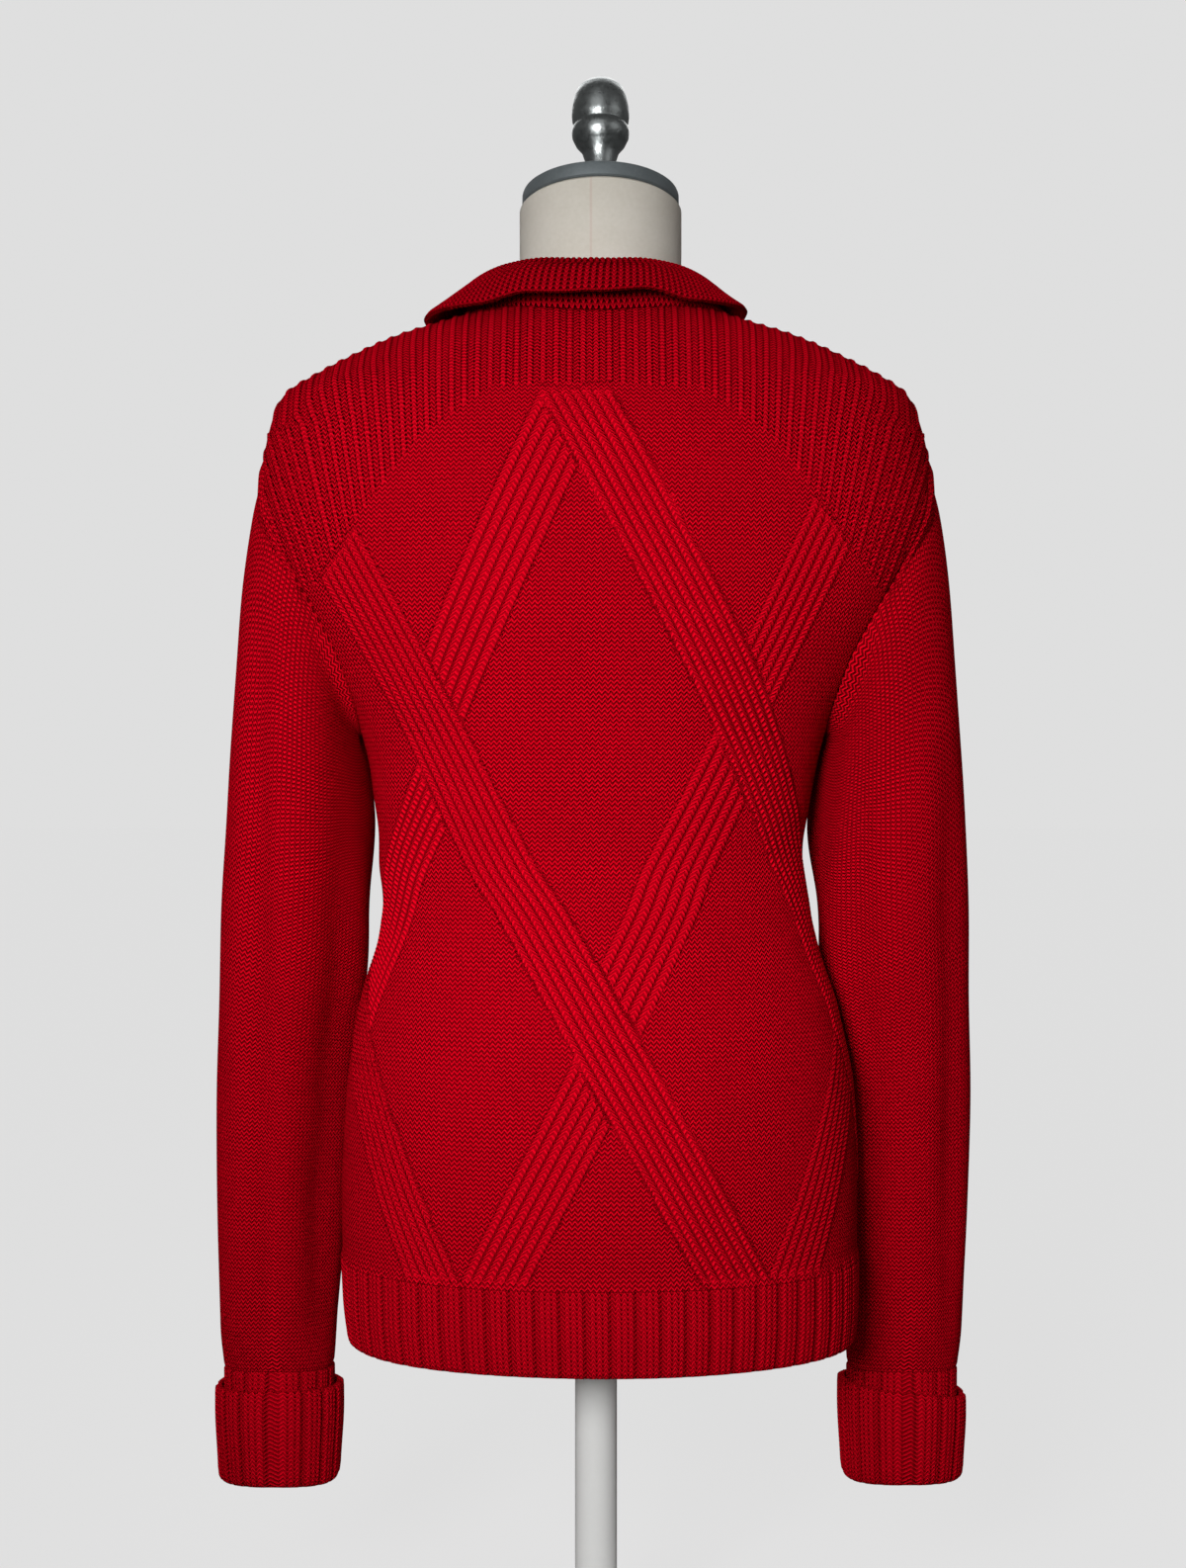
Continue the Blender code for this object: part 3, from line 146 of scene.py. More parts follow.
def ripple(u: Array, v: Array, seed: int) -> Array:
    """Slow unevenness of hanging cloth, between about -1 and 1.

    Args:
        u: places across, in metres.
        v: places up, in metres.
        seed: which pattern.

    Returns:
        The unevenness at each place.
    """
    turns = np.random.default_rng(seed)
    total = np.zeros(np.broadcast(u, v).shape)
    for k in range(9):
        angle = turns.uniform(0, math.tau)
        wave = math.tau * turns.uniform(5, 22)
        phase = turns.uniform(0, math.tau)
        place = (u * math.cos(angle) + 0.6 * v * math.sin(angle)) * wave
        total = total + np.sin(place + phase) / (1.5 + 0.3 * k)
    return total / 2.6


def squared(turns: Array, square: float) -> tuple[Array, Array]:
    """Cosines and sines of turns, drawn out towards the corners of a square."""
    c, s = np.cos(turns), np.sin(turns)
    return np.sign(c) * np.abs(c) ** (2 / square), np.sign(s) * np.abs(s) ** (2 / square)


def through(points: Array, count: int) -> Array:
    """A smooth curve through points, at even steps.

    Args:
        points: the points along the first axis.
        count: how many steps between two points.

    Returns:
        The points of the curve along the first axis.
    """
    padded = np.concatenate([2 * points[:1] - points[1:2], points, 2 * points[-1:] - points[-2:-1]])
    rows = []
    for k in range(len(points) - 1):
        a, b, c, d = padded[k], padded[k + 1], padded[k + 2], padded[k + 3]
        slope, bend, twist = c - a, 2 * a - 5 * b + 4 * c - d, 3 * b - a - 3 * c + d
        for t in np.arange(count) / count:
            rows.append(0.5 * (2 * b + slope * t + bend * t**2 + twist * t**3))
    rows.append(points[-1])
    return np.array(rows)


def lengths(grid: Array, before: Array | None = None) -> Array:
    """How far down its column each point lies, from the first row or from a row before it."""
    start = grid[:1] if before is None else before[None]
    return np.cumsum(np.linalg.norm(np.diff(grid, axis=0, prepend=start), axis=-1), axis=0)


def flat_map(across: Array, down: Array) -> Array:
    """Places on the flat cloth, from those of a grid's columns and rows."""
    return np.stack(np.broadcast_arrays(across[None, :], down[:, None]), axis=-1)


# --- The body's surface ----------------------------------------------------------------------------
class Torso:
    """The smooth surface that the body's cloth lies on: stacked level sections."""

    # height, half width, depth behind, depth before, sway to the right, squareness
    ROWS = (
        (0.1900, 0.1478, 0.116, 0.101, 0.0032, 2.20),
        (0.2280, 0.1519, 0.119, 0.104, 0.0027, 2.20),
        (0.2810, 0.1528, 0.119, 0.105, 0.0020, 2.20),
        (0.3480, 0.1500, 0.114, 0.104, 0.0019, 2.20),
        (0.3940, 0.1422, 0.104, 0.101, 0.0012, 2.20),
        (0.4545, 0.1266, 0.090, 0.098, 0.0000, 2.20),
        (0.4834, 0.1258, 0.087, 0.100, -0.0030, 2.20),
        (0.5340, 0.1316, 0.094, 0.116, -0.0018, 2.20),
        (0.5600, 0.1375, 0.098, 0.124, -0.0015, 2.25),
        (0.5970, 0.1560, 0.103, 0.130, -0.0010, 2.30),
        (0.6270, 0.1740, 0.106, 0.126, -0.0006, 2.40),
        (0.6550, 0.1890, 0.107, 0.117, -0.0004, 2.50),
        (0.6900, 0.1985, 0.107, 0.103, -0.0002, 2.60),
        (0.7247, 0.1960, 0.102, 0.087, 0.0000, 2.70),
        (0.7440, 0.1918, 0.097, 0.077, 0.0000, 2.60),
        (0.7580, 0.1855, 0.091, 0.068, 0.0000, 2.60),
        (0.7713, 0.1670, 0.083, 0.057, 0.0000, 2.50),
        (0.7868, 0.1363, 0.073, 0.046, 0.0000, 2.40),
        (0.7935, 0.1195, 0.068, 0.041, 0.0000, 2.40),
        (0.7992, 0.1030, 0.063, 0.036, 0.0000, 2.30),
        (0.8045, 0.0865, 0.058, 0.032, 0.0000, 2.30),
        (0.8160, 0.0600, 0.045, 0.024, 0.0000, 2.20),
    )
    SHOULDER_LOW = 0.7000
    SAMPLES = 721

    def __init__(self) -> None:
        """Fits one curve for each column."""
        columns = list(zip(*self.ROWS))
        self.half_width, self.back, self.front, self.sway, self.square = (
            Curve(columns[0], column) for column in columns[1:]
        )
        self.top = columns[0][-1]
        self.kept: dict[float, tuple[Array, Array, Array]] = {}

    def section(self, height: float) -> tuple[Array, Array, Array]:
        """Arc, X and Y along half of a level section, from the middle of the back to the front."""
        key = round(float(height), 6)
        if key not in self.kept:
            turn = np.linspace(0.0, math.pi, self.SAMPLES)
            power = 2 / float(self.square(key))
            out, fore = np.abs(np.sin(turn)) ** power, np.abs(np.cos(turn)) ** power
            depth = np.where(turn <= math.pi / 2, -self.back(key), self.front(key))
            xs, ys = float(self.half_width(key)) * out, depth * fore
            arcs = np.concatenate([[0.0], np.cumsum(np.hypot(np.diff(xs), np.diff(ys)))])
            self.kept[key] = arcs, xs, ys
        return self.kept[key]

    def girth(self, height: float) -> float:
        """Arc of half a section."""
        return float(self.section(height)[0][-1])

    def arc_at(self, height: float, y: float) -> float:
        """Arc from the middle of the back to where a section passes a depth."""
        arcs, _, ys = self.section(height)
        return float(np.interp(y, ys, arcs))

    def side_x(self, height: float, y: float) -> float:
        """Half the width of a section at a depth."""
        _, xs, ys = self.section(height)
        return float(np.interp(y, ys, xs))

    def row(self, along: Array, side: Array, height: float) -> Array:
        """Points at one height.

        Args:
            along: arcs from the middle of the back.
            side: +1 or -1 for each.
            height: the height.

        Returns:
            One point for each arc.
        """
        arcs, xs, ys = self.section(height)
        x = side * np.interp(along, arcs, xs) + float(self.sway(height))
        return np.stack([x, np.interp(along, arcs, ys), np.full(len(along), float(height))], axis=-1)

    def face(self, across: Array, height: float, back: bool) -> Array:
        """Points of the back's or the front's face at one height, by their distance from its middle."""
        along = np.abs(across) if back else self.girth(height) - np.abs(across)
        return self.row(along, np.where(across < 0, -1.0, 1.0), height)

    def height_at(self, x: Array, y: Array) -> Array:
        """Heights of the shoulders over points of the plan."""
        low, high = np.full(x.shape, self.SHOULDER_LOW), np.full(x.shape, self.top)
        for _ in range(34):
            middle = (low + high) / 2
            depth, power = np.where(y < 0, self.back(middle), self.front(middle)), self.square(middle)
            inside = (np.abs(x) / self.half_width(middle)) ** power + (np.abs(y) / depth) ** power < 1
            low, high = np.where(inside, middle, low), np.where(inside, high, middle)
        return (low + high) / 2

    def normals(self, points: Array) -> Array:
        """Outward directions of the surface at points on it."""
        x, y, z = (points[..., k] for k in range(3))
        step = 0.0006

        def level_of(at: Array) -> Array:
            """How far out the points would lie at other heights, with 1 on the surface."""
            depth = np.where(y < 0, self.back(at), self.front(at))
            across = np.abs(x - self.sway(at)) / self.half_width(at)
            return across ** self.square(at) + (np.abs(y) / depth) ** self.square(at)

        low, high = np.maximum(z - step, self.ROWS[0][0]), np.minimum(z + step, self.top)
        n, width = self.square(z), self.half_width(z)
        depth = np.where(y < 0, self.back(z), self.front(z))
        side = x - self.sway(z)
        gx = n * np.sign(side) * (np.abs(side) / width) ** (n - 1) / width
        gy = n * np.sign(y) * (np.abs(y) / depth) ** (n - 1) / depth
        gz = (level_of(high) - level_of(low)) / (high - low)
        return unit(np.stack([gx, gy, gz], axis=-1))


TORSO = Torso()


class Seams:
    """Where the pieces of the body meet."""

    @staticmethod
    def shift(back: bool) -> float:
        """How far a side or shoulder edge keeps behind its seam, or before it on the front."""
        return -SEAM / 2 if back else SEAM / 2

    @staticmethod
    def armhole_y(height: Array | float) -> Array:
        """Half the depth of the armhole at a height."""
        half = (ARM_TOP - UNDERARM) / 2
        share = (np.asarray(height, float) - UNDERARM - half) / half
        return ARM_HALF_DEPTH * np.sqrt(np.maximum(1 - share * share, 0.0))

    @staticmethod
    def armhole(turn: float, side: int, back: bool) -> tuple[Array, Array]:
        """A point of the armhole and the direction of the wall's thickness there.

        Args:
            turn: 0 at the top, pi at the underarm.
            side: +1 for the wearer's right.
            back: whether it is on the back half.

        Returns:
            The point and the direction.
        """
        height = UNDERARM + (ARM_TOP - UNDERARM) * (1 + math.cos(turn)) / 2
        y = float(Seams.armhole_y(height)) * (-1 if back else 1)
        arc = np.array([TORSO.arc_at(height, y)])
        point = TORSO.row(arc, np.array([side]), height)[0]
        sleeve = np.array([side * math.cos(turn), math.sin(turn) * (-1 if back else 1), 0.0])
        droop = np.array([0.0, 0.0, -0.3 * (1 - math.cos(turn)) / 2])
        return point, unit(TORSO.normals(point) + sleeve + droop)

    @staticmethod
    def shoulder_y(x: Array) -> Array:
        """Depth of the shoulder seam at a distance from the middle."""
        last = TORSO.side_x(ARM_TOP, 0.0)
        share = np.clip((np.abs(x) - NECK_HALF) / (last - NECK_HALF), 0.0, 1.0)
        return SHOULDER_FORWARD * (1 - share**2)

    @staticmethod
    def neck_y(x: Array, back: bool) -> Array:
        """Depth of the neck opening at a distance from the middle."""
        depth = -NECK_BACK if back else NECK_FRONT
        return depth * np.sqrt(np.maximum(1 - (x / NECK_HALF) ** 2, 0.0))


# --- Meshes ----------------------------------------------------------------------------------------
def quads_of(rows: int, columns: int, wrap_rows: bool, wrap_columns: bool) -> tuple[Array, Array, Array]:
    """Corners of a grid's faces.

    Args:
        rows: points down the grid.
        columns: points across it.
        wrap_rows: whether the last row joins the first.
        wrap_columns: whether the last column joins the first.

    Returns:
        Point numbers, and the unwrapped row and column of each corner, for every face.
    """
    i, j = np.meshgrid(
        np.arange(rows if wrap_rows else rows - 1),
        np.arange(columns if wrap_columns else columns - 1),
        indexing="ij",
    )
    row = np.stack([i, i, i + 1, i + 1], axis=-1).reshape(-1, 4)
    column = np.stack([j, j + 1, j + 1, j], axis=-1).reshape(-1, 4)
    return (row % rows) * columns + column % columns, row, column


class Finish(Enum):
    """The finishes, each by the record's slot and its own name."""

    FIELD = ("wool", "knit_purl_field")
    WIDE_RIB = ("wool", "knit_wide_rib")
    COLLAR = ("wool", "knit_collar")
    LINEN = ("linen", "form_linen")
    CAST = ("cast_metal", "cast_cap")
    TURNED = ("turned_metal", "turned_finial")
    BUTTON = ("button", "dyed_button")
    THREAD = ("button", "sewing_thread")
    POLE = ("pole", "painted_pole")
    BASE = ("base", "painted_base")


@dataclass
class Piece:
    """One finished piece of the scene, kept as loose arrays until it is made."""

    name: str
    finish: Finish
    points: list[Array] = field(default_factory=list)
    faces: list[Array] = field(default_factory=list)
    maps: list[Array] = field(default_factory=list)
    ribs: list[Array] = field(default_factory=list)

    @property
    def size(self) -> int:
        """How many points it has so far."""
        return sum(len(block) for block in self.points)

    def add_grid(
        self,
        grid: Array,
        flat: Array,
        ribs: Array | float = 0.0,
        wrap_rows: bool = False,
        wrap_columns: bool = False,
        flip: bool = False,
    ) -> Array:
        """Adds a grid of points with faces between them.

        Args:
            grid: points, rows by columns by 3.
            flat: their places on the flat cloth, with one more row or column where the grid wraps.
            ribs: for each point its place among the ribs, which are on whole numbers, and how much of the
                lattice's ribs and of the yoke's there is.
            wrap_rows: whether the last row joins the first.
            wrap_columns: whether the last column joins the first.
            flip: whether the faces look the other way.

        Returns:
            The numbers of the points, rows by columns.
        """
        rows, columns = grid.shape[:2]
        corners, row, column = quads_of(rows, columns, wrap_rows, wrap_columns)
        if flip:
            corners, row, column = corners[:, ::-1], row[:, ::-1], column[:, ::-1]
        start = self.size
        self.points.append(grid.reshape(-1, 3))
        self.ribs.append(np.broadcast_to(ribs, (rows, columns, 3)).reshape(-1, 3))
        self.faces.append(corners + start)
        self.maps.append(flat[row, column])
        return np.arange(rows * columns).reshape(rows, columns) + start

    def add_faces(self, faces: Array, flat: Array | None = None) -> None:
        """Adds faces between points that are there already.

        Args:
            faces: point numbers, one row for each face.
            flat: places on the flat cloth of each corner.
        """
        faces = np.asarray(faces, int)
        self.faces.append(faces)
        self.maps.append(np.zeros((*faces.shape, 2)) if flat is None else flat)

    def make(self, node: str, merge: float = 0.0, sharp: float = 60.0) -> bpy.types.Object:
        """Makes the mesh object, with its UV map, its ribs as an attribute, and its finish.

        Args:
            node: the solid that it stands for.
            merge: points closer than this become one.
            sharp: edges that turn more than this many degrees stay sharp.

        Returns:
            The new object, riding on the root.
        """
        mesh = bpy.data.meshes.new(self.name)
        points = np.concatenate(self.points)
        sizes = np.concatenate([np.full(len(block), block.shape[1]) for block in self.faces])
        corners = np.concatenate([block.reshape(-1) for block in self.faces])
        mesh.vertices.add(len(points))
        mesh.vertices.foreach_set("co", points.astype(np.float32).reshape(-1))
        mesh.loops.add(len(corners))
        mesh.loops.foreach_set("vertex_index", corners.astype(np.int32))
        mesh.polygons.add(len(sizes))
        mesh.polygons.foreach_set("loop_start", (np.cumsum(sizes) - sizes).astype(np.int32))
        layer = mesh.uv_layers.new(name="cloth")
        flat = np.concatenate([block.reshape(-1, 2) for block in self.maps])
        layer.data.foreach_set("uv", flat.astype(np.float32).reshape(-1))
        ribs = mesh.attributes.new("ribs", "FLOAT_VECTOR", "POINT")
        ribs.data.foreach_set("vector", np.concatenate(self.ribs).astype(np.float32).reshape(-1))
        mesh.update(calc_edges=True)
        mesh.validate()
        if merge:
            body = bmesh.new()
            body.from_mesh(mesh)
            bmesh.ops.remove_doubles(body, verts=body.verts, dist=merge)
            bmesh.ops.recalc_face_normals(body, faces=body.faces)
            body.to_mesh(mesh)
            body.free()
        if volume_of(mesh) < 0:
            mesh.flip_normals()
        mesh.shade_smooth()
        mesh.set_sharp_from_angle(angle=math.radians(sharp))
        made = bpy.data.objects.new(self.name, mesh)
        bpy.context.scene.collection.objects.link(made)
        return dressed(made, self.finish, node)


def volume_of(mesh: bpy.types.Mesh) -> float:
    """Signed volume of a closed mesh: below zero if it is inside out."""
    body = bmesh.new()
    body.from_mesh(mesh)
    volume = body.calc_volume(signed=True)
    body.free()
    return volume


def dressed(made: bpy.types.Object, finish: Finish, node: str = "") -> bpy.types.Object:
    """Gives a piece its finish and its body and, unless it is a detail, hides the solid that it stands for.
    """
    made.data.materials.clear()
    made.data.materials.append(Finishes.get(finish))
    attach(made, "root")
    if node:
        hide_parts(node)
    LOG.info("%s: %d faces, %s", made.name, len(made.data.polygons), finish.value[1])
    return made


# --- Finishes --------------------------------------------------------------------------------------
class Nodes:
    """A short hand for building a material's nodes."""

    def __init__(self, name: str) -> None:
        """Makes an empty material with its shader."""
        self.material = bpy.data.materials.new(name)
        self.material.use_nodes = True
        self.tree = self.material.node_tree
        self.shader = self.tree.nodes["Principled BSDF"]
        self.places = self.node("ShaderNodeTexCoord").outputs

    def node(self, kind: str, **settings: object) -> bpy.types.Node:
        """Adds a node and sets its properties."""
        made = self.tree.nodes.new(kind)
        for key, value in settings.items():
            setattr(made, key, value)
        return made

    def join(self, source: Value, target: bpy.types.NodeSocket) -> None:
        """Links an output to an input, or sets the input to a number."""
        if isinstance(source, bpy.types.NodeSocket):
            self.tree.links.new(source, target)
        else:
            target.default_value = source

    def math(self, operation: str, first: Value, second: Value = 0.0, third: Value = 0.0) -> Value:
        """The result of a Math node.

        Args:
            operation: the node's operation.
            first: its first value, a number or an output.
            second: its second value.
            third: its third value.

        Returns:
            The node's output.
        """
        made = self.node("ShaderNodeMath", operation=operation)
        for socket, value in zip(made.inputs, (first, second, third)):
            self.join(value, socket)
        return made.outputs[0]

    def step(self, value: Value, low: float, high: float) -> Value:
        """A soft step of a value from 0 at one bound to 1 at the other."""
        made = self.node("ShaderNodeMapRange", interpolation_type="SMOOTHSTEP")
        for socket, number in zip(made.inputs, (value, low, high)):
            self.join(number, socket)
        return made.outputs[0]

    def apart(self, vector: Value) -> list[bpy.types.NodeSocket]:
        """The three parts of a vector."""
        made = self.node("ShaderNodeSeparateXYZ")
        self.join(vector, made.inputs[0])
        return list(made.outputs)

    def less(self, value: Value) -> Value:
        """What a value leaves of 1."""
        return self.math("SUBTRACT", 1.0, value)

    def times(self, first: Value, second: Value) -> Value:
        """The product of two values."""
        return self.math("MULTIPLY", first, second)

    def noise(self, scale: float, detail: float, roughness: float = 0.5) -> Value:
        """The value of a noise texture that stays with the object."""
        made = self.node("ShaderNodeTexNoise")
        for name, value in (("Scale", scale), ("Detail", detail), ("Roughness", roughness)):
            made.inputs[name].default_value = value
        self.join(self.places["Object"], made.inputs["Vector"])
        return made.outputs["Fac"]

    def blend(self, share: Value, low: tuple, high: tuple) -> Value:
        """A colour between two."""
        made = self.node("ShaderNodeMix", data_type="RGBA")
        self.join(share, made.inputs["Factor"])
        for socket, value in ((made.inputs[6], low), (made.inputs[7], high)):
            self.join((*value, 1.0) if isinstance(value, tuple) else value, socket)
        return made.outputs[2]

    def bump(self, height: Value, distance: float, strength: float, under: Value | None = None) -> Value:
        """The normal of a bump, laid over another one."""
        made = self.node("ShaderNodeBump")
        for name, value in (("Distance", distance), ("Strength", strength), ("Height", height)):
            self.join(value, made.inputs[name])
        if under is not None:
            self.join(under, made.inputs["Normal"])
        return made.outputs["Normal"]

    def shade(self, **values: object) -> None:
        """Sets the shader's sockets, with spaces in their names written as underscores."""
        for key, value in values.items():
            self.join(value, self.shader.inputs[key.replace("_", " ")])


class Ribbing(Enum):
    """How the ribs of a knit lie."""

    LATTICE = "on a purl ground, where the piece's attribute says"
    WIDE = "groups of three wales between sunken bands"
    NARROW = "narrow ribs side by side"


@dataclass(frozen=True)
class Wool:
    """A knit of red wool, with its stitches drawn on the flat cloth's own map, and painted shade in their
    hollows and furrows.
    """

    name: str
    ribbing: Ribbing
    repeat: float = WIDE_REPEAT
    wale: float = 0.0033
    course: float = 0.0026
    # light is the wool's tone on the stitches' tops; the dark tone below it is painted shade in the hollows
    # between them
    light: tuple[float, float, float] = (0.690, 0.0010, 0.0120)
    hollow_shade: tuple[float, float, float] = (0.030, 0.0001, 0.0003)
    depth: float = 0.0015
    furrow: float = 0.0012

    def lattice(self, n: Nodes, upwards: Value) -> tuple[Value, Value, Value]:
        """The ribs that the attribute gives.

        Args:
            n: the material.
            upwards: place up the cloth, in courses.

        Returns:
            How much of a rib there is, its stitches' height, and how deep the furrows are, which also sets
            their painted shade.
        """
        source = n.node("ShaderNodeAttribute", attribute_name="ribs").outputs["Vector"]
        phase, lattice, yoke = n.apart(source)
        off = n.math("PINGPONG", phase, 0.5)
        stitches = self.loops(n, n.math("MULTIPLY_ADD", off, 2.0, upwards))
        narrow = n.less(n.step(off, 0.08, 0.22))
        beside = n.less(n.step(n.math("ABSOLUTE", n.math("SUBTRACT", off, 0.24)), 0.0, 0.10))
        scallop = n.math("MULTIPLY_ADD", stitches, 0.5, 0.5)
        between = n.times(n.step(off, 0.34, 0.48), scallop)
        share = n.math("MULTIPLY_ADD", yoke, narrow, lattice)
        # the last value is the furrows' depth and their painted shade, with painted shade also beside the
        # yoke's ribs
        return share, stitches, n.math("MULTIPLY_ADD", lattice, between, n.times(n.times(yoke, beside), 0.68))

    def wide(self, n: Nodes, across: Value, upwards: Value) -> tuple[Value, Value, Value]:
        """Groups of three wales between sunken bands."""
        place = n.math("FRACT", n.times(across, 1 / self.repeat))
        raised = n.times(n.step(place, 0.02, 0.12), n.less(n.step(place, 0.76, 0.86)))
        wales = n.math("MULTIPLY_ADD", place, 1 / WALE_SHARE, -FIRST_WALE / WALE_SHARE)
        wales = n.math("PINGPONG", wales, 0.5)
        stitches = self.loops(n, n.math("MULTIPLY_ADD", wales, -1.8, upwards))
        between = n.times(n.less(n.step(wales, 0.0, 0.20)), raised)
        beside = n.less(n.step(n.math("ABSOLUTE", n.math("SUBTRACT", place, 0.87)), 0.0, 0.06))
        sunken = n.math("MULTIPLY_ADD", n.less(raised), 0.30, n.times(beside, 0.35))
        # the last value is the furrows' depth and their painted shade, darkest in the sunken bands and beside
        # them
        return 1.0, stitches, n.math("MULTIPLY_ADD", between, 0.38, sunken)

    def narrow(self, n: Nodes, across: Value, upwards: Value) -> tuple[Value, Value, Value]:
        """Narrow ribs side by side."""
        off = n.math("PINGPONG", n.times(across, 1 / self.repeat), 0.5)
        stitches = self.loops(n, n.math("MULTIPLY_ADD", off, 1.6, upwards))
        # the last value is the furrows' depth and their painted shade between the ribs
        return 1.0, stitches, n.times(n.step(off, 0.24, 0.46), 0.70)

    @staticmethod
    def loops(n: Nodes, lean: Value) -> Value:
        """Rounded rows of loops, from 0 to 1."""
        return n.math("MULTIPLY_ADD", n.math("SINE", n.times(lean, math.tau)), 0.5, 0.5)

    def build(self) -> bpy.types.Material:
        """Makes the material.

        Returns:
            Its node material.
        """
        n = Nodes(self.name)
        across, along, _ = n.apart(n.places["UV"])
        wobble = n.noise(260.0, 2.0)
        upwards = n.math("MULTIPLY_ADD", along, 1 / self.course, n.times(wobble, 0.30))
        wales = n.math("MULTIPLY_ADD", across, 1 / self.wale, n.times(wobble, 0.22))
        arcs = n.math("MULTIPLY_ADD", n.math("PINGPONG", wales, 0.5), 1.5, upwards)
        purl = n.math("POWER", self.loops(n, arcs), 0.8)
        if self.ribbing is Ribbing.LATTICE:
            rib, stitches, furrow_depth_and_shade = self.lattice(n, upwards)
        elif self.ribbing is Ribbing.WIDE:
            rib, stitches, furrow_depth_and_shade = self.wide(n, across, upwards)
        else:
            rib, stitches, furrow_depth_and_shade = self.narrow(n, across, upwards)
        stitches = n.math("MULTIPLY_ADD", stitches, 0.70, 0.22)
        height = n.math("MULTIPLY_ADD", stitches, rib, n.times(purl, n.less(rib)))
        fuzz, slow = n.noise(1400.0, 3.0, 0.7), n.noise(14.0, 3.0)
        share = n.math("ADD", height, n.times(fuzz, 0.26))
        share = n.math("MULTIPLY_ADD", slow, 0.14, share)
        # painted shade: the colour is darkened in the furrows
        share = n.times(share, n.math("MULTIPLY_ADD", furrow_depth_and_shade, -0.85, 1.0))
        trough = n.bump(n.less(furrow_depth_and_shade), self.furrow, 1.0)
        # the colour runs from painted shade in the stitches' hollows to the light tone on their tops
        n.shade(
            Base_Color=n.blend(share, self.hollow_shade, self.light),
            Roughness=1.0,
            Specular_IOR_Level=0.0,
            Normal=n.bump(fuzz, 0.0004, 0.3, n.bump(height, self.depth, 1.0, trough)),
        )
        return n.material


@dataclass(frozen=True)
class Linen:
    """Cream linen on the form, finely woven, with a faint reddish seam down the back of the neck."""

    name: str = "form_linen"
    thread: float = 0.0011
    seam_x: float = -0.0030
    seam_half: float = 0.0007

    def build(self) -> bpy.types.Material:
        """Makes the material."""
        n = Nodes(self.name)
        ways = n.apart(n.places["UV"])[:2]
        threads = [n.math("SINE", n.times(way, math.tau / self.thread)) for way in ways]
        weave = n.math("MULTIPLY_ADD", n.times(*threads), 0.5, 0.5)
        cloud, slub = n.noise(30.0, 4.0), n.noise(400.0, 2.0)
        share = n.math("MULTIPLY_ADD", weave, 0.25, n.times(cloud, 0.5))
        cloth = n.blend(n.math("MULTIPLY_ADD", slub, 0.3, share), (0.42, 0.39, 0.32), (0.64, 0.61, 0.56))
        x, y, _ = n.apart(n.places["Object"])
        line = n.math("LESS_THAN", n.math("ABSOLUTE", n.math("SUBTRACT", x, self.seam_x)), self.seam_half)
        tint = n.times(n.times(line, n.math("LESS_THAN", y, 0.0)), 0.16)
        n.shade(
            Base_Color=n.blend(tint, cloth, (0.42, 0.16, 0.13)),
            Roughness=0.88,
            Specular_IOR_Level=0.2,
            Normal=n.bump(weave, 0.0002, 0.5, n.bump(cloud, 0.002, 0.15)),
        )
        return n.material


@dataclass(frozen=True)
class Metal:
    """Bare or painted metal with fine wear."""

    name: str
    colour: tuple[float, float, float]
    worn: tuple[float, float, float]
    roughness: float
    metallic: float
    grain: float
    grain_depth: float

    def build(self) -> bpy.types.Material:
        """Makes the material."""
        n = Nodes(self.name)
        coarse, cloud = n.noise(self.grain, 6.0, 0.65), n.noise(45.0, 3.0)
        share = n.math("MULTIPLY_ADD", coarse, 0.6, n.times(cloud, 0.4))
        n.shade(
            Base_Color=n.blend(share, self.colour, self.worn),
            Metallic=self.metallic,
            Roughness=n.math("MULTIPLY_ADD", coarse, 0.25, self.roughness - 0.12),
            Normal=n.bump(coarse, self.grain_depth, 0.6),
        )
        return n.material


@dataclass(frozen=True)
class Resin:
    """Dyed button resin, or thread, with a faint swirl."""

    name: str
    colour: tuple[float, float, float]
    worn: tuple[float, float, float]
    roughness: float

    def build(self) -> bpy.types.Material:
        """Makes the material."""
        n = Nodes(self.name)
        swirl = n.noise(240.0, 4.0)
        n.shade(
            Base_Color=n.blend(swirl, self.colour, self.worn),
            Roughness=self.roughness,
            Normal=n.bump(swirl, 0.0001, 0.3),
        )
        return n.material


PAINT, FADED = (0.66, 0.66, 0.65), (0.72, 0.72, 0.71)  # the stand's pale grey


class Finishes:
    """Every material of the scene, each made once."""

    SPECS = {
        Finish.FIELD: Wool("knit_purl_field", Ribbing.LATTICE),
        Finish.WIDE_RIB: Wool("knit_wide_rib", Ribbing.WIDE),
        Finish.COLLAR: Wool("knit_collar", Ribbing.NARROW, NARROW_REPEAT, light=(0.560, 0.0007, 0.0100)),
        Finish.LINEN: Linen(),
        Finish.CAST: Metal("cast_cap", (0.07, 0.085, 0.09), (0.20, 0.225, 0.235), 0.66, 0.5, 420, 0.0003),
        Finish.TURNED: Metal("turned_finial", (0.12, 0.13, 0.13), (0.50, 0.53, 0.53), 0.30, 1.0, 300, 0.0004),
        Finish.BUTTON: Resin("dyed_button", (0.13, 0.008, 0.012), (0.22, 0.014, 0.02), 0.32),
        Finish.THREAD: Resin("sewing_thread", (0.30, 0.006, 0.012), (0.42, 0.01, 0.016), 0.85),
        Finish.POLE: Metal("painted_pole", PAINT, FADED, 0.42, 0.0, 350, 0.0001),
        Finish.BASE: Metal("painted_base", PAINT, FADED, 0.48, 0.0, 350, 0.0001),
    }
    made: dict[Finish, bpy.types.Material] = {}

    @classmethod
    def get(cls, finish: Finish) -> bpy.types.Material:
        """The material of a finish."""
        if finish not in cls.made:
            cls.made[finish] = cls.SPECS[finish].build()
        return cls.made[finish]


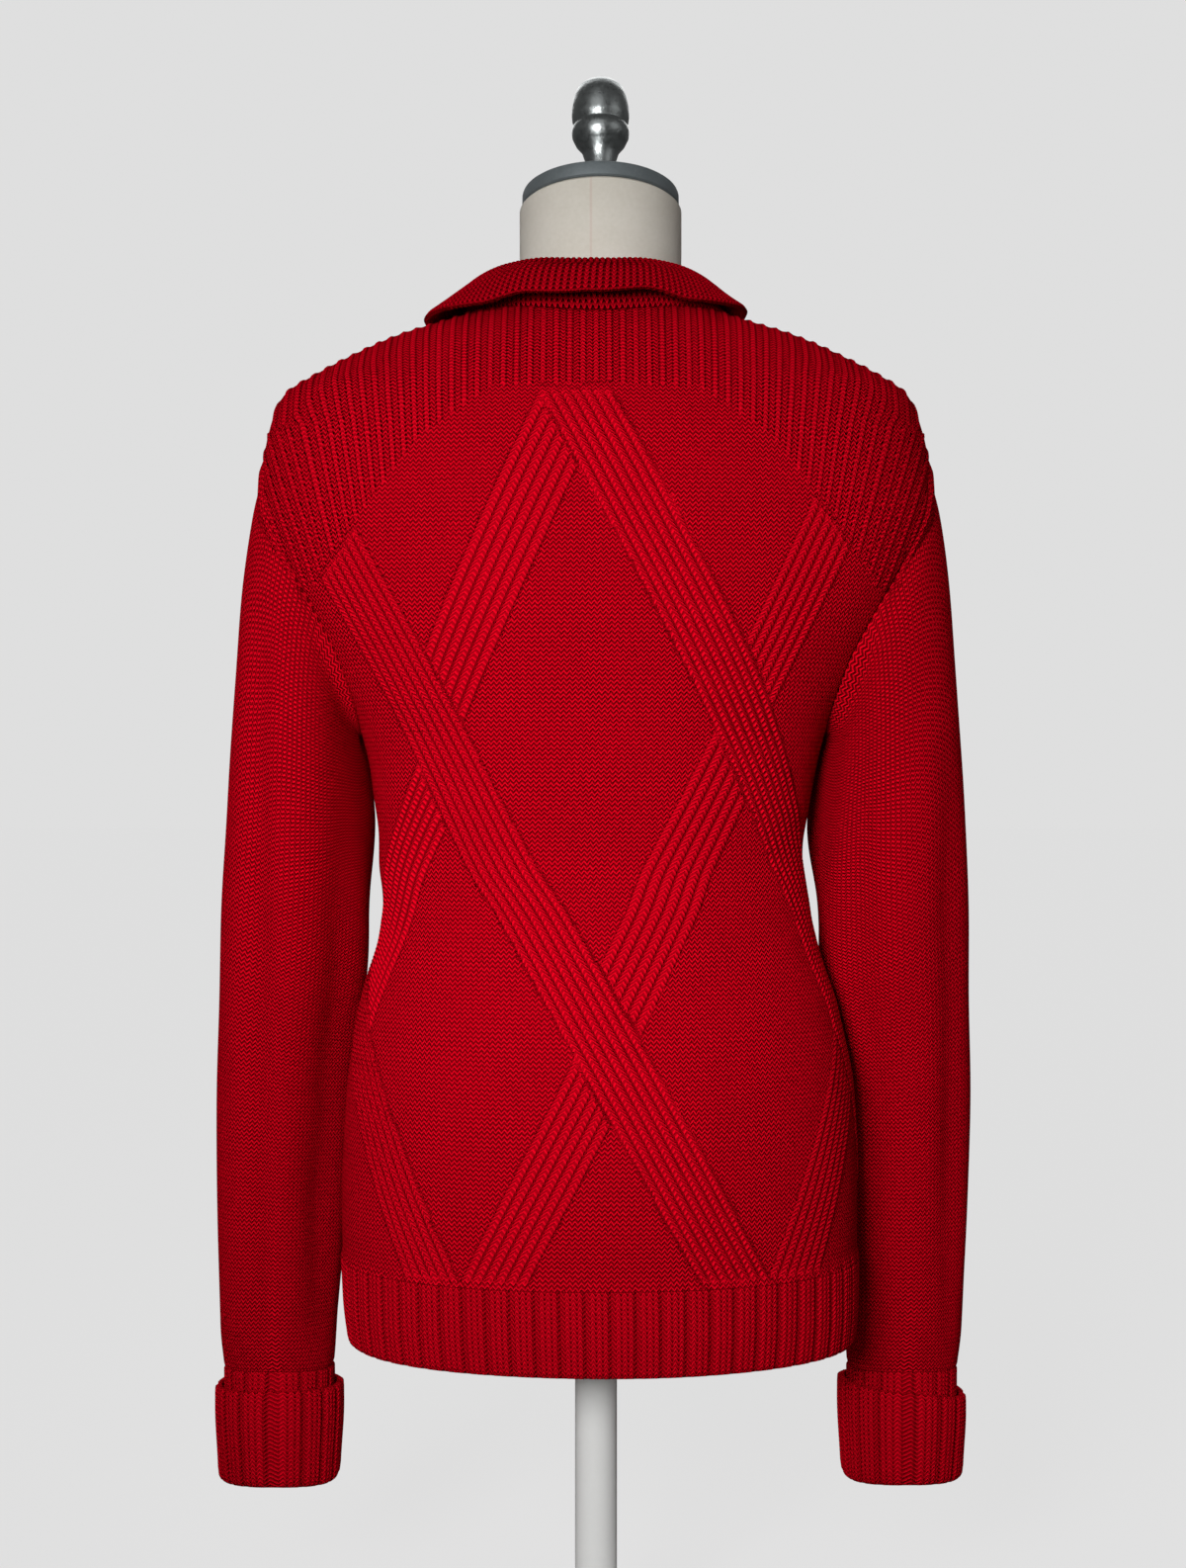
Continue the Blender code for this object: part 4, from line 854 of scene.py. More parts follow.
# --- The body's panels -----------------------------------------------------------------------------
@dataclass(frozen=True)
class Line:
    """A straight line on the back's cloth: where it is at a height, and how it leans."""

    across: float
    height: float
    lean: float

    def at(self, height: Array) -> Array:
        """Where it is at a height."""
        return self.across + self.lean * (height - self.height)


@dataclass(frozen=True)
class Band:
    """A band of narrow ribs from its left edge, cut off beside the lines that it ends at."""

    left: Line
    ribs: int
    pitch: float
    left_of: tuple["Band", ...] = ()
    right_of: tuple["Band", ...] = ()

    def ribs_at(self, across: Array, height: Array) -> tuple[Array, Array]:
        """How much of the band there is at a place, and the place among its ribs, on whole numbers."""
        place = (across - self.left.at(height)) / self.pitch
        inside = (place > 0) & (place < self.ribs)
        room = np.full(across.shape, 1.0)
        for band in self.left_of:
            room = np.minimum(room, band.left.at(height) - BAND_GAP - across)
        for band in self.right_of:
            edge = band.left.at(height) + band.ribs * band.pitch
            room = np.minimum(room, across - edge - BAND_GAP)
        return inside * ease(room / BAND_GAP + 1.0), place - 0.5


def rib_top(place: Array, roundness: float = 0.8) -> Array:
    """Round ribs with narrow furrows: 1 on whole numbers, 0 half-way between them."""
    return np.abs(np.cos(math.pi * place)) ** roundness


def yoke_rib(place: Array) -> Array:
    """Height of narrow raised ribs on whole numbers, with wide sunken bands between."""
    return ease((0.30 - np.abs(place - np.round(place))) / 0.24)


LONG_RIGHT = Band(Line(-0.0328, 0.7500, -0.540), 7, 0.0061)
LONG_LEFT = Band(Line(-0.1813, 0.6780, -0.558), 7, 0.0061)
SIDE_LEFT_LOW = Band(Line(-0.1189, 0.2578, -0.525), 6, 0.0062)
LATTICE = (
    LONG_RIGHT,
    LONG_LEFT,
    SIDE_LEFT_LOW,
    Band(Line(-0.0361, 0.7423, 0.450), 6, 0.0070, (LONG_RIGHT,), (LONG_LEFT,)),
    Band(Line(0.0652, 0.5528, 0.515), 6, 0.0072, (LONG_RIGHT,), (LONG_LEFT,)),
    Band(Line(0.1242, 0.6929, 0.470), 6, 0.0062, (), (LONG_RIGHT,)),
    Band(Line(-0.0160, 0.3737, 0.530), 6, 0.0066, (LONG_LEFT,), (SIDE_LEFT_LOW,)),
    Band(Line(-0.1276, 0.5047, 0.560), 6, 0.0071, (LONG_LEFT,), (SIDE_LEFT_LOW,)),
    Band(Line(0.0990, 0.2598, 0.490), 6, 0.0067, (LONG_RIGHT,), (LONG_LEFT,)),
)


@dataclass
class Panel:
    """The back or the front of the body: one wall from the hem's rib to the shoulders."""

    name: str
    back: bool
    columns: int
    row_step: float
    crest_rows: int
    split: float = 0.7350  # above this the rows run over the shoulders
    yoke: tuple[tuple[float, float], ...] = ()
    pitch: float = 0.0075
    lean: float = 1.3
    widest: float = 0.2200  # where the outermost rib would stand on the shoulder
    stride: int = 4
    hem_repeats: int = 31
    hem_blend: float = 0.0080  # height over which the hem's ribs grow out of the field
    roll: float = 0.0008  # how far the wall's edge rolls in
    sag: float = 0.0005
    fold: float = 0.0003  # depth of the small folds at the sides of the waist
    fold_pitch: float = 0.0360

    def edge(self, height: float) -> float:
        """Arc from the middle of the back to the panel's side at a height."""
        if height <= UNDERARM:
            return TORSO.arc_at(height, 0.0) + Seams.shift(self.back)
        if height < ARM_TOP:
            return TORSO.arc_at(height, (-1 if self.back else 1) * float(Seams.armhole_y(height)))
        last = TORSO.side_x(height, 0.0)
        return TORSO.arc_at(height, float(Seams.shoulder_y(np.array([last]))[0])) + Seams.shift(self.back)

    def heights(self) -> Array:
        """Heights of the lower rows, closer together where the armhole turns."""
        even = np.arange(HEM_TOP + SEAM / 2, self.split, self.row_step)
        turns = np.linspace(0, math.pi, 56)
        holes = UNDERARM + (ARM_TOP - UNDERARM) * (1 - np.cos(turns)) / 2
        near = [h for h in holes if min(h - UNDERARM, ARM_TOP - h) < 0.012]
        kept: list[float] = []
        for height in sorted([*near, *even]):
            if not kept or height - kept[-1] > 0.0004:
                kept.append(float(height))
        return np.array([*[h for h in kept if h < self.split - 0.0008], self.split])

    def rib_x(self, x: Array, height: Array) -> Array:
        """Which line of the yoke passes a point: its distance from the middle on the shoulder."""
        grid = np.linspace(0.0, self.widest, 400)
        start = np.maximum(TORSO.height_at(grid, np.full(400, -0.050)), 0.745)
        lean = self.lean * np.minimum((grid / 0.16) ** 2, 1.35) if self.back else 0.0 * grid
        result = np.array(np.abs(x))
        for k in range(len(result)):
            reach = grid * (1 - lean * np.maximum(start - float(np.max(height[k])), 0))
            result[k] = np.interp(np.abs(x[k]), np.maximum.accumulate(reach), grid)
        return np.sign(x) * result

    def relief(self, across: Array, points: Array) -> tuple[Array, Array]:
        """Ribs at points of the panel.

        Args:
            across: distances from the panel's middle along the cloth.
            points: the points themselves.

        Returns:
            Their height, from 0 to 1, and for each point its place among the ribs and how much of the
            lattice's ribs and of the yoke's there is.
        """
        height = points[..., 2]
        border = np.interp(np.abs(across), *zip(*self.yoke))
        above = ease((height - border) / 0.0030 + 0.5)
        phase = self.rib_x(points[..., 0] - TORSO.sway(height), height) / self.pitch
        rise, lattice = 0.65 * above * yoke_rib(phase), np.zeros(phase.shape)
        below, above = ease((border - 0.0005 - height) / 0.0075), ease(2 * above - 1)
        for band in LATTICE if self.back else ():
            share, place = band.ribs_at(across, height)
            share = share * below
            phase = np.where(share > 0, place, phase)
            lattice = np.maximum(lattice, share)
            rise = np.maximum(rise, share * rib_top(place, 1.6))
        low = ease((HEM_TOP + self.hem_blend - height) / self.hem_blend)
        rise = rise + low * (wide_rib(np.linspace(0, self.hem_repeats, across.shape[1])) - rise)
        return rise, np.stack([phase, lattice * (1 - low), above], axis=-1)

    def lower(self) -> tuple[Array, Array]:
        """Points of the lower rows, and their distance across."""
        shares = np.linspace(-1, 1, self.columns)
        rows, places = [], []
        for height in self.heights():
            edge = self.edge(height)
            across = shares * (edge if self.back else TORSO.girth(height) - edge)
            rows.append(TORSO.face(across, height, self.back))
            places.append(across)
        return np.array(rows), np.array(places)

    def crest(self, start: Array) -> Array:
        """Points of the rows over the shoulders, up to the shoulder and neck seams.

        Args:
            start: the last of the lower rows.

        Returns:
            The rows after it.
        """
        x, low = start[:, 0], start[:, 1]
        seam = Seams.shoulder_y(x) + Seams.shift(self.back)
        neck = Seams.neck_y(x, self.back)
        inside = np.abs(x) < NECK_HALF
        top = np.where(inside, np.minimum(neck, seam) if self.back else np.maximum(neck, seam), seam)
        rows = []
        for share in np.linspace(0, 1, self.crest_rows + 1)[1:]:
            y = low + (top - low) * share
            rows.append(np.stack([x, y, TORSO.height_at(x, y)], axis=-1))
        return np.array(rows)

    def creases(self, across: Array, height: Array) -> Array:
        """Soft unevenness of the hanging cloth, in metres."""
        slow = self.sag * ripple(across, height, seed=3 if self.back else 8)
        waist = np.exp(-(((height - WAIST) / 0.075) ** 2))
        side = ease((np.abs(across) - 0.05) / 0.07)
        turns = height / self.fold_pitch + 2.2 * np.abs(across) + 0.4 * np.sin(across * 30)
        return slow + self.fold * waist * side * np.sin(math.tau * turns)

    def build(self) -> bpy.types.Object:
        """Makes the panel.

        Returns:
            The finished piece.
        """
        lower, across = self.lower()
        crest = self.crest(lower[-1])
        base = np.concatenate([lower, crest])
        last = across[-1]
        up = lengths(crest, lower[-1])
        across = np.concatenate([across, np.broadcast_to(last, crest.shape[:2])])
        heights = np.concatenate([lower[..., 2], lower[-1:, :, 2] + up])
        normals = TORSO.normals(base)
        rise, ribs = self.relief(across, base)
        roll = np.zeros(rise.shape)
        for border, depth in ((0, self.roll), (1, self.roll * 0.2)):
            for line in (np.s_[-1 - border, :], np.s_[:, border], np.s_[:, -1 - border]):
                roll[line] = np.maximum(roll[line], depth)
        lift = rise * RISE * 1.05 + self.creases(across, heights)
        lift = lift * (1 - 0.8 * roll / self.roll) - roll
        outer = base + normals * lift[..., None]
        inner = base - normals * WALL
        self.mitre(base, inner)
        piece = Piece(self.name, Finish.FIELD)
        flat = np.stack([across, heights], axis=-1)
        numbers = piece.add_grid(outer, flat, ribs)
        picks = [self.picks(size) for size in numbers.shape]
        within = piece.add_grid(inner[np.ix_(*picks)], flat[np.ix_(*picks)], flip=True)
        self.close(piece, numbers, within, picks)
        return piece.make(self.name.removeprefix("knit_"), merge=1e-5)

    def picks(self, size: int) -> Array:
        """Which rows or columns the inner face keeps."""
        return np.unique([*range(0, size, self.stride), size - 1])

    def mitre(self, base: Array, inner: Array) -> None:
        """Slants the wall's edge along the armholes, so that it meets the sleeve's."""
        for i in range(len(base)):
            height = base[i, 0, 2]
            if UNDERARM < height < ARM_TOP and i < len(base) - self.crest_rows:
                share = 2 * (height - UNDERARM) / (ARM_TOP - UNDERARM) - 1
                for column, side in ((0, -1), (-1, 1)):
                    _, direction = Seams.armhole(math.acos(min(max(share, -1), 1)), side, self.back)
                    inner[i, column] = base[i, column] - direction * WALL

    @staticmethod
    def close(piece: Piece, outer: Array, inner: Array, picks: list[Array]) -> None:
        """Adds the wall's edge between the fine outer face and the plain inner one.

        Args:
            piece: the piece.
            outer: numbers of the outer points.
            inner: numbers of the inner points.
            picks: the rows and the columns that the inner face keeps.
        """
        sides = (
            (outer[0], inner[0], picks[1]),
            (outer[-1], inner[-1], picks[1]),
            (outer[:, 0], inner[:, 0], picks[0]),
            (outer[:, -1], inner[:, -1], picks[0]),
        )
        for index, (far, near, kept) in enumerate(sides):
            faces = []
            for k in range(len(kept) - 1):
                middle = (kept[k] + kept[k + 1]) // 2
                for step in range(kept[k], kept[k + 1]):
                    owner = near[k] if step < middle else near[k + 1]
                    faces.append((far[step], far[step + 1], owner))
                faces.append((near[k], far[middle], near[k + 1]))
            block = np.array(faces)
            piece.add_faces(block if index in (1, 2) else block[:, ::-1])


# --- Hem, sleeves and cuffs ------------------------------------------------------------------------
def wide_rib(share: Array) -> Array:
    """Height of a raised group of three wales beside a sunken band, over one repeat."""
    share = np.mod(share, 1.0)
    raised = ease((share - 0.02) / 0.13) * ease((0.86 - share) / 0.13)
    wales = np.abs(np.sin(math.pi * (share - FIRST_WALE) / WALE_SHARE)) ** 0.8
    return raised * (0.62 + 0.38 * wales) + (1 - raised) * 0.04


@dataclass
class HemRib:
    """Half of the hem's rib."""

    name: str
    back: bool
    repeats: int = 31
    per_repeat: int = 22

    def build(self) -> bpy.types.Object:
        """Makes the rib as one closed wall."""
        shares = np.linspace(0, 1, self.repeats * self.per_repeat + 1)
        top, low = HEM_TOP - SEAM / 2, HEM_BOTTOM
        outer = [(top, -0.0003), (top - 0.0010, 0.0)]
        outer += [(h, 0.0) for h in np.linspace(top - 0.004, low + 0.004, 14)]
        outer += [(low + 0.0014, -0.0003), (low + 0.0003, -0.0010)]
        inner = [(low, -0.0019), (low + 0.0006, -WALL + 0.0002)]
        inner += [(h, -WALL) for h in np.linspace(low + 0.004, top, 4)]
        rows, flats = [], []
        rib, flat_across = wide_rib(shares * self.repeats), shares * self.repeats * WIDE_REPEAT
        for number, (height, lift) in enumerate([*outer, *inner]):
            seam = TORSO.arc_at(height, 0.0) + Seams.shift(self.back)
            across = (seam if self.back else TORSO.girth(height) - seam) * (2 * shares - 1)
            points = TORSO.face(across, height, self.back)
            normals = TORSO.normals(points) * np.array([1.0, 1.0, 0.0])
            fade = 1.0 if number < len(outer) - 1 else 0.55
            rise = rib * RISE * 1.05 * (fade if number < len(outer) else 0.25)
            sway = 0.0006 * np.sin(across * 41 + 1.0) * (top - height) / (top - low)
            rows.append(points + unit(normals) * (lift + rise + sway)[:, None])
            flats.append(np.stack([flat_across, np.full(len(shares), height)], axis=-1))
        piece = Piece(self.name, Finish.WIDE_RIB)
        numbers = piece.add_grid(np.array(rows), np.array([*flats, flats[0]]), wrap_rows=True)
        cap_ends(piece, numbers)
        return piece.make(self.name.removeprefix("knit_"))


def cap_ends(piece: Piece, numbers: Array) -> None:
    """Closes both ends of a wall whose rows run round its section."""
    for column, flip in ((0, False), (-1, True)):
        ring = numbers[:, column]
        count = len(ring)
        faces = []
        low, high = 0, count - 1
        while high - low > 1:
            faces.append((ring[low], ring[low + 1], ring[high]))
            low += 1
            if high - low > 1:
                faces.append((ring[low], ring[high - 1], ring[high]))
                high -= 1
        block = np.array(faces)
        piece.add_faces(block[:, ::-1] if flip else block)


@dataclass(frozen=True)
class Crease:
    """A long soft trough or ridge of a sleeve."""

    turn_top: float
    turn_bottom: float
    top: float
    bottom: float
    depth: float
    half_width: float

    def dent(self, turn: Array, height: Array) -> Array:
        """How far it draws the cloth in at a place."""
        share = np.clip((self.top - height) / (self.top - self.bottom), 0.0, 1.0)
        middle = self.turn_top + (self.turn_bottom - self.turn_top) * share
        across = (np.mod(turn - middle + 0.5, 1.0) - 0.5) / self.half_width
        return self.depth * np.sin(math.pi * share) ** 0.5 * np.exp(-across * across)


@dataclass
class Sleeve:
    """A long sleeve of plain knit, from the armhole to the cuff's seam."""

    name: str
    side: int
    swing: float
    creases: tuple[Crease, ...]
    tuck: float  # how far its inner side leans in against the body below the armhole
    tuck_bottom: float
    tuck_turn: float = 0.57
    columns: int = 168
    steps: int = 18
    seed: int = 5
    swing_top: float = 0.52
    swing_length: float = 0.35
    flat_width: float = 0.2916
    foot: float = 0.1743  # height of the cuff's seam

    # outer side: x and height, inner side: x and height, how far forward, half depth
    RINGS = (
        (0.1992, 0.7130, 0.1408, 0.5540, 0.001, 0.0535),
        (0.2048, 0.6900, 0.1405, 0.5420, 0.002, 0.0545),
        (0.2105, 0.6500, 0.1392, 0.5220, 0.004, 0.0545),
        (0.2150, 0.6050, 0.1372, 0.4990, 0.007, 0.0535),
        (0.2195, 0.5530, 0.1355, 0.4740, 0.011, 0.0520),
        (0.2230, 0.5000, 0.1352, 0.4450, 0.017, 0.0505),
        (0.2265, 0.4400, 0.1372, 0.4080, 0.026, 0.0490),
        (0.2292, 0.3700, 0.1435, 0.3560, 0.038, 0.0460),
        (0.2302, 0.2900, 0.1490, 0.2850, 0.046, 0.0420),
        (0.2282, 0.2090, 0.1545, 0.2090, 0.049, 0.0350),
        (0.2240, 0.1743, 0.1572, 0.1743, 0.048, 0.0260),
    )
    SQUARE = {0.2090: 2.3, 0.1743: 2.8}  # how square the lowest sections are, by their height

    def out(self, height: float) -> float:
        """How far the sleeve is moved outwards at a height."""
        return self.swing * float(np.clip((self.swing_top - height) / self.swing_length, 0.0, 1.0))

    def ring(self, row: tuple[float, ...], turns: Array) -> Array:
        """Points of one section, from the outer side round by the back."""
        outer_x, outer_z, inner_x, inner_z, forward, half_depth = row
        outer = np.array([self.side * (outer_x + self.out(outer_z)), forward, outer_z])
        inner = np.array([self.side * (inner_x + self.out(inner_z)), forward, inner_z])
        middle, half = (outer + inner) / 2, (outer - inner) / 2
        across, back = squared(turns, self.SQUARE.get(outer_z, 2.0))
        points = middle + half * across[:, None]
        points[:, 1] -= half_depth * back
        return points

    def start(self) -> tuple[Array, Array]:
        """Points of the armhole, and the direction of the wall's thickness at each."""
        points, directions = [], []
        for k in range(self.columns):
            turn = math.tau * k / self.columns
            back = turn <= math.pi
            point, direction = Seams.armhole(turn if back else math.tau - turn, self.side, back)
            points.append(point)
            directions.append(direction)
        edge, thickness = np.array(points), np.array(directions)
        inwards = edge.mean(axis=0) - edge
        inwards -= thickness * (inwards * thickness).sum(axis=1, keepdims=True)
        return edge + unit(inwards) * SEAM, thickness

    def lean_in(self, points: Array, share: Array) -> None:
        """Leans the inner side in against the body, from the armhole down to the tuck's bottom."""
        near = np.exp(-(((share - self.tuck_turn) / 0.085) ** 2))
        below = ease((UNDERARM + 0.008 - points[..., 2]) / 0.018)
        high = ease((points[..., 2] - self.tuck_bottom) / 0.07) * below
        start = ease(np.arange(len(points)) / self.steps)[:, None]
        points[..., 0] -= self.side * self.tuck * near * high * start

    def clear(self, points: Array) -> None:
        """Keeps the sleeve off the side of the body, after the first few rows."""
        for i in range(1, len(points)):
            room = (RISE + CLEAR) * min(i / (self.steps * 0.6), 1.0)
            for point in points[i]:
                if HEM_BOTTOM - 0.01 < point[2] < ARM_TOP and self.side * point[0] < 0.22:
                    sway = float(TORSO.sway(point[2]))
                    reach = TORSO.side_x(round(point[2], 3), point[1]) + self.side * sway + room
                    if abs(point[1]) < 0.13 and self.side * point[0] < reach:
                        point[0] = self.side * reach

    def build(self) -> bpy.types.Object:
        """Makes the sleeve."""
        turns = math.tau * np.arange(self.columns) / self.columns
        edge, thickness = self.start()
        rings = np.array([edge, *[self.ring(row, turns) for row in self.RINGS]])
        points = through(rings, self.steps)
        share = np.broadcast_to(turns / math.tau, points.shape[:2])
        self.lean_in(points, share)
        self.clear(points)
        middle = points.mean(axis=1, keepdims=True)
        ring = np.arange(len(points))[:, None] / self.steps
        dent = sum(crease.dent(share, points[..., 2]) for crease in self.creases) * ease(ring)
        away = np.minimum(ring / 1.5, 1.0)
        dent = dent + 0.0009 * away * ripple(share * 0.25, points[..., 2], self.seed)
        dent = dent + 0.0006 * away * np.abs(np.sin(math.tau * (share * 2.5 + points[..., 2] * 3))) ** 3
        end = np.minimum((points[..., 2] - self.foot) / 0.03, 1.0)
        seams = np.zeros(points.shape[:2])
        seams[0], seams[1], seams[-1] = 0.0007, 0.0002, 0.0004
        points = points + unit(middle - points) * (dent * np.maximum(end, 0.25) + seams)[..., None]
        around = np.roll(points, -1, axis=1) - np.roll(points, 1, axis=1)
        normal = unit(np.cross(around, np.gradient(points, axis=0)))
        flip = np.sign((normal * (points - middle)).sum(axis=-1, keepdims=True).mean())
        inner = points - normal * flip * WALL
        inner[0] = edge - thickness * WALL
        kept = [*range(0, len(points) - 1, 6), len(points) - 1]
        grid = np.concatenate([points, inner[kept][::-1]])
        along = lengths(points).mean(axis=1)
        flat_around = np.arange(self.columns + 1) / self.columns * self.flat_width
        downs = np.concatenate([along, along[kept][::-1], along[:1]])
        piece = Piece(self.name, Finish.FIELD)
        piece.add_grid(grid, flat_map(flat_around, -downs), wrap_rows=True, wrap_columns=True)
        return piece.make(self.name.removeprefix("knit_"))


@dataclass
class Cuff:
    """A wide-ribbed cuff, turned up once."""

    name: str
    side: int
    middle_x: float
    bottom: float
    edge: float
    slant: float
    repeats: int = 16
    per_repeat: int = 20
    forward: float = 0.048
    half_width: float = 0.0334
    half_depth: float = 0.0250
    square: float = 2.8
    loose: float = 0.0012
    taper: float = 0.0022
    seam: float = 0.1737

    def profile(self) -> list[tuple[float, float, float, float]]:
        """The cuff's section: height, distance out, share of the ribs' rise and of the edge's slant."""
        low, layer = self.bottom, WALL + self.loose
        edge = self.edge
        rows = [(edge - 0.0004, layer - 0.0008, 0.5, 1.0), (edge - 0.0016, layer + 0.0002, 0.9, 1.0)]
        for k, height in enumerate(np.linspace(edge - 0.005, low + 0.009, 16)):
            rows.append((float(height), layer + 0.0002, 1.0, 1.0 - (k + 1) / 16))
        for angle in np.linspace(15, 165, 7):
            turn = math.radians(angle)
            out = layer / 2 - WALL / 2 + (layer + WALL) / 2 * math.cos(turn)
            rows.append((low + 0.0050 - 0.0050 * math.sin(turn), out, 0.9 * abs(math.cos(turn)), 0.0))
        rows += [(h, -WALL, 0.35, 0.0) for h in np.linspace(low + 0.007, self.seam, 10)]
        rows += [(self.seam, -0.0006, 0.3, 0.0), (self.seam - 0.0012, -0.0002, 0.5, 0.0)]
        rows += [(h, -0.0004, 0.6, 0.0) for h in np.linspace(self.seam - 0.004, edge - 0.004, 4)]
        rows += [(low + 0.0058, 0.0, 0.0, 0.0), (low + 0.0058, self.loose, 0.0, 0.0)]
        rows.append((edge - 0.0004, self.loose + 0.0006, 0.0, 1.0))
        return rows

    def build(self) -> bpy.types.Object:
        """Makes the cuff."""
        shares = np.arange(self.repeats * self.per_repeat) / (self.repeats * self.per_repeat)
        rib = wide_rib(shares * self.repeats)
        turns = math.tau * shares
        across, back = squared(turns, self.square)
        rows = []
        for height, out, rise, slant in self.profile():
            reach = out + rib * RISE * 1.15 * rise
            uneven = 0.0005 * np.sin(2 * turns + 1.3 + 14 * height) + 0.0004 * np.sin(3 * turns + 30 * height)
            reach = reach + uneven - self.taper * ease((0.150 - height) / 0.045)
            x = self.middle_x + (self.half_width + reach) * across
            y = self.forward - (self.half_depth + reach) * back
            rows.append(np.stack([self.side * x, y, height - self.slant * slant * np.cos(turns)], axis=-1))
        grid = np.array(rows)
        downs = lengths(grid).mean(axis=1)
        downs = np.append(downs, downs[-1] + WALL)
        around = np.arange(len(shares) + 1) / self.per_repeat * WIDE_REPEAT
        piece = Piece(self.name, Finish.WIDE_RIB)
        piece.add_grid(grid, flat_map(around, -downs), wrap_rows=True, wrap_columns=True)
        return piece.make(self.name.removeprefix("knit_"))


# --- Collar and front opening ----------------------------------------------------------------------
@dataclass
class Collar:
    """The ribbed collar: a stand rolled over into a fall."""

    name: str = "knit_collar"
    end: float = 164.0
    wall: float = 0.0026
    rise: float = 0.0009
    shift: float = -0.0030
    fall_shift: float = -0.0062
    ribs: int = 132
    per_rib: int = 6

    # turn from the middle of the back, fold above the seam, fold inside it, spread, lift square and upwards
    ROWS = (
        (0.0, 0.0285, 0.0028, 0.0140, 0.0026, 0.0200),
        (20.0, 0.0275, 0.0035, 0.0145, 0.0032, 0.0170),
        (40.0, 0.0240, 0.0052, 0.0150, 0.0038, 0.0050),
        (65.0, 0.0190, 0.0065, 0.0160, 0.0042, 0.0005),
        (90.0, 0.0162, 0.0070, 0.0165, 0.0042, 0.0000),
        (125.0, 0.0155, 0.0040, 0.0170, 0.0042, 0.0000),
        (165.0, 0.0145, 0.0010, 0.0200, 0.0042, 0.0000),
    )

    def guides(self, turn: float, curves: list[Curve]) -> list[Array]:
        """Points of the collar's middle line at a turn in degrees, from the neck seam to the fall's edge."""
        side, angle = math.copysign(1.0, turn), abs(turn)
        s, c = math.sin(math.radians(angle)), math.cos(math.radians(angle))
        x, y = side * max(NECK_HALF * s, 1e-4), (-NECK_BACK if angle <= 90 else NECK_FRONT) * abs(c)
        rise, inside, spread, off, lift = (float(curve(angle)) for curve in curves)
        ground = self.ground(x, y)
        normal = TORSO.normals(ground)
        around = unit(np.array([x / NECK_HALF, y / NECK_BACK, 0.0]))
        direction = unit(normal + around)
        outwards, up = np.array([side * s, -c, 0.0]), np.array([0.0, 0.0, 1.0])
        base = ground - direction * (WALL / 2) - outwards * 0.0001 + up * 0.0004
        fold = base + RIGHT * self.shift - outwards * inside + up * rise
        edge = base + RIGHT * self.fall_shift + outwards * spread
        ground = self.ground(edge[0], edge[1])
        fall = ground + TORSO.normals(ground) * (off + self.wall / 2) + up * lift
        bend, round_out = 0.0042, 1.1 * c * c - 0.1
        under = fold - outwards * bend * 0.5 - up * bend * 1.4
        return [
            base,
            base + (under - base) * 0.55 - outwards * 0.0004,
            under,
            fold,
            fold + outwards * bend * 1.4 - up * bend * 0.9,
            fold + (fall - fold) * 0.55 + (outwards * 0.0035 + up * 0.0045) * round_out,
            fall,
        ]

    @staticmethod
    def ground(x: float, y: float) -> Array:
        """The point of the shoulders over a point of the plan."""
        height = float(TORSO.height_at(np.array([x]), np.array([y]))[0])
        return np.array([x, y, height])

    def build(self) -> bpy.types.Object:
        """Makes the collar."""
        places, *columns = zip(*self.ROWS)
        curves = [Curve(places, column) for column in columns]
        count = self.ribs * self.per_rib
        shares = np.linspace(0, 1, count + 1)
        turns = self.end * (2 * shares - 1)
        coarse = np.linspace(-self.end - 2, self.end + 2, 165)
        table = np.array([self.guides(turn, curves) for turn in coarse])
        flat_table = table.reshape(len(coarse), -1)
        lines = np.stack([np.interp(turns, coarse, column) for column in flat_table.T], axis=-1)
        guides = lines.reshape(len(turns), 7, 3).transpose(1, 0, 2)
        middle = through(guides, 7)
        wave = 0.0006 * np.sin(np.radians(turns) * 5 + 0.7)
        middle[-12:, :, 2] += wave * np.linspace(0, 1, 12)[:, None]
        around = np.gradient(middle, axis=1)
        normal = unit(np.cross(np.gradient(middle, axis=0), around))
        along = np.linspace(0, 1, len(middle))
        roll = ((np.abs(along - 0.5) - 0.475) / 0.027).clip(0, 1)
        half = (self.wall / 2 * np.sqrt(np.clip(1 - roll**2, 0.06, 1)))[:, None]
        wales = rib_top(shares * self.ribs)
        outer = middle + normal * (half + self.rise * wales)[..., None]
        inner = middle - normal * (half + 0.8 * self.rise * wales)[..., None]
        grid = np.concatenate([outer[::-1], inner])
        mean = lengths(middle).mean(axis=1)
        downs = np.concatenate([mean[::-1], -mean, [mean[-1]]])
        piece = Piece(self.name, Finish.COLLAR)
        numbers = piece.add_grid(grid, flat_map(shares * self.ribs * NARROW_REPEAT, downs), wrap_rows=True)
        cap_ends(piece, numbers)
        return piece.make("collar")


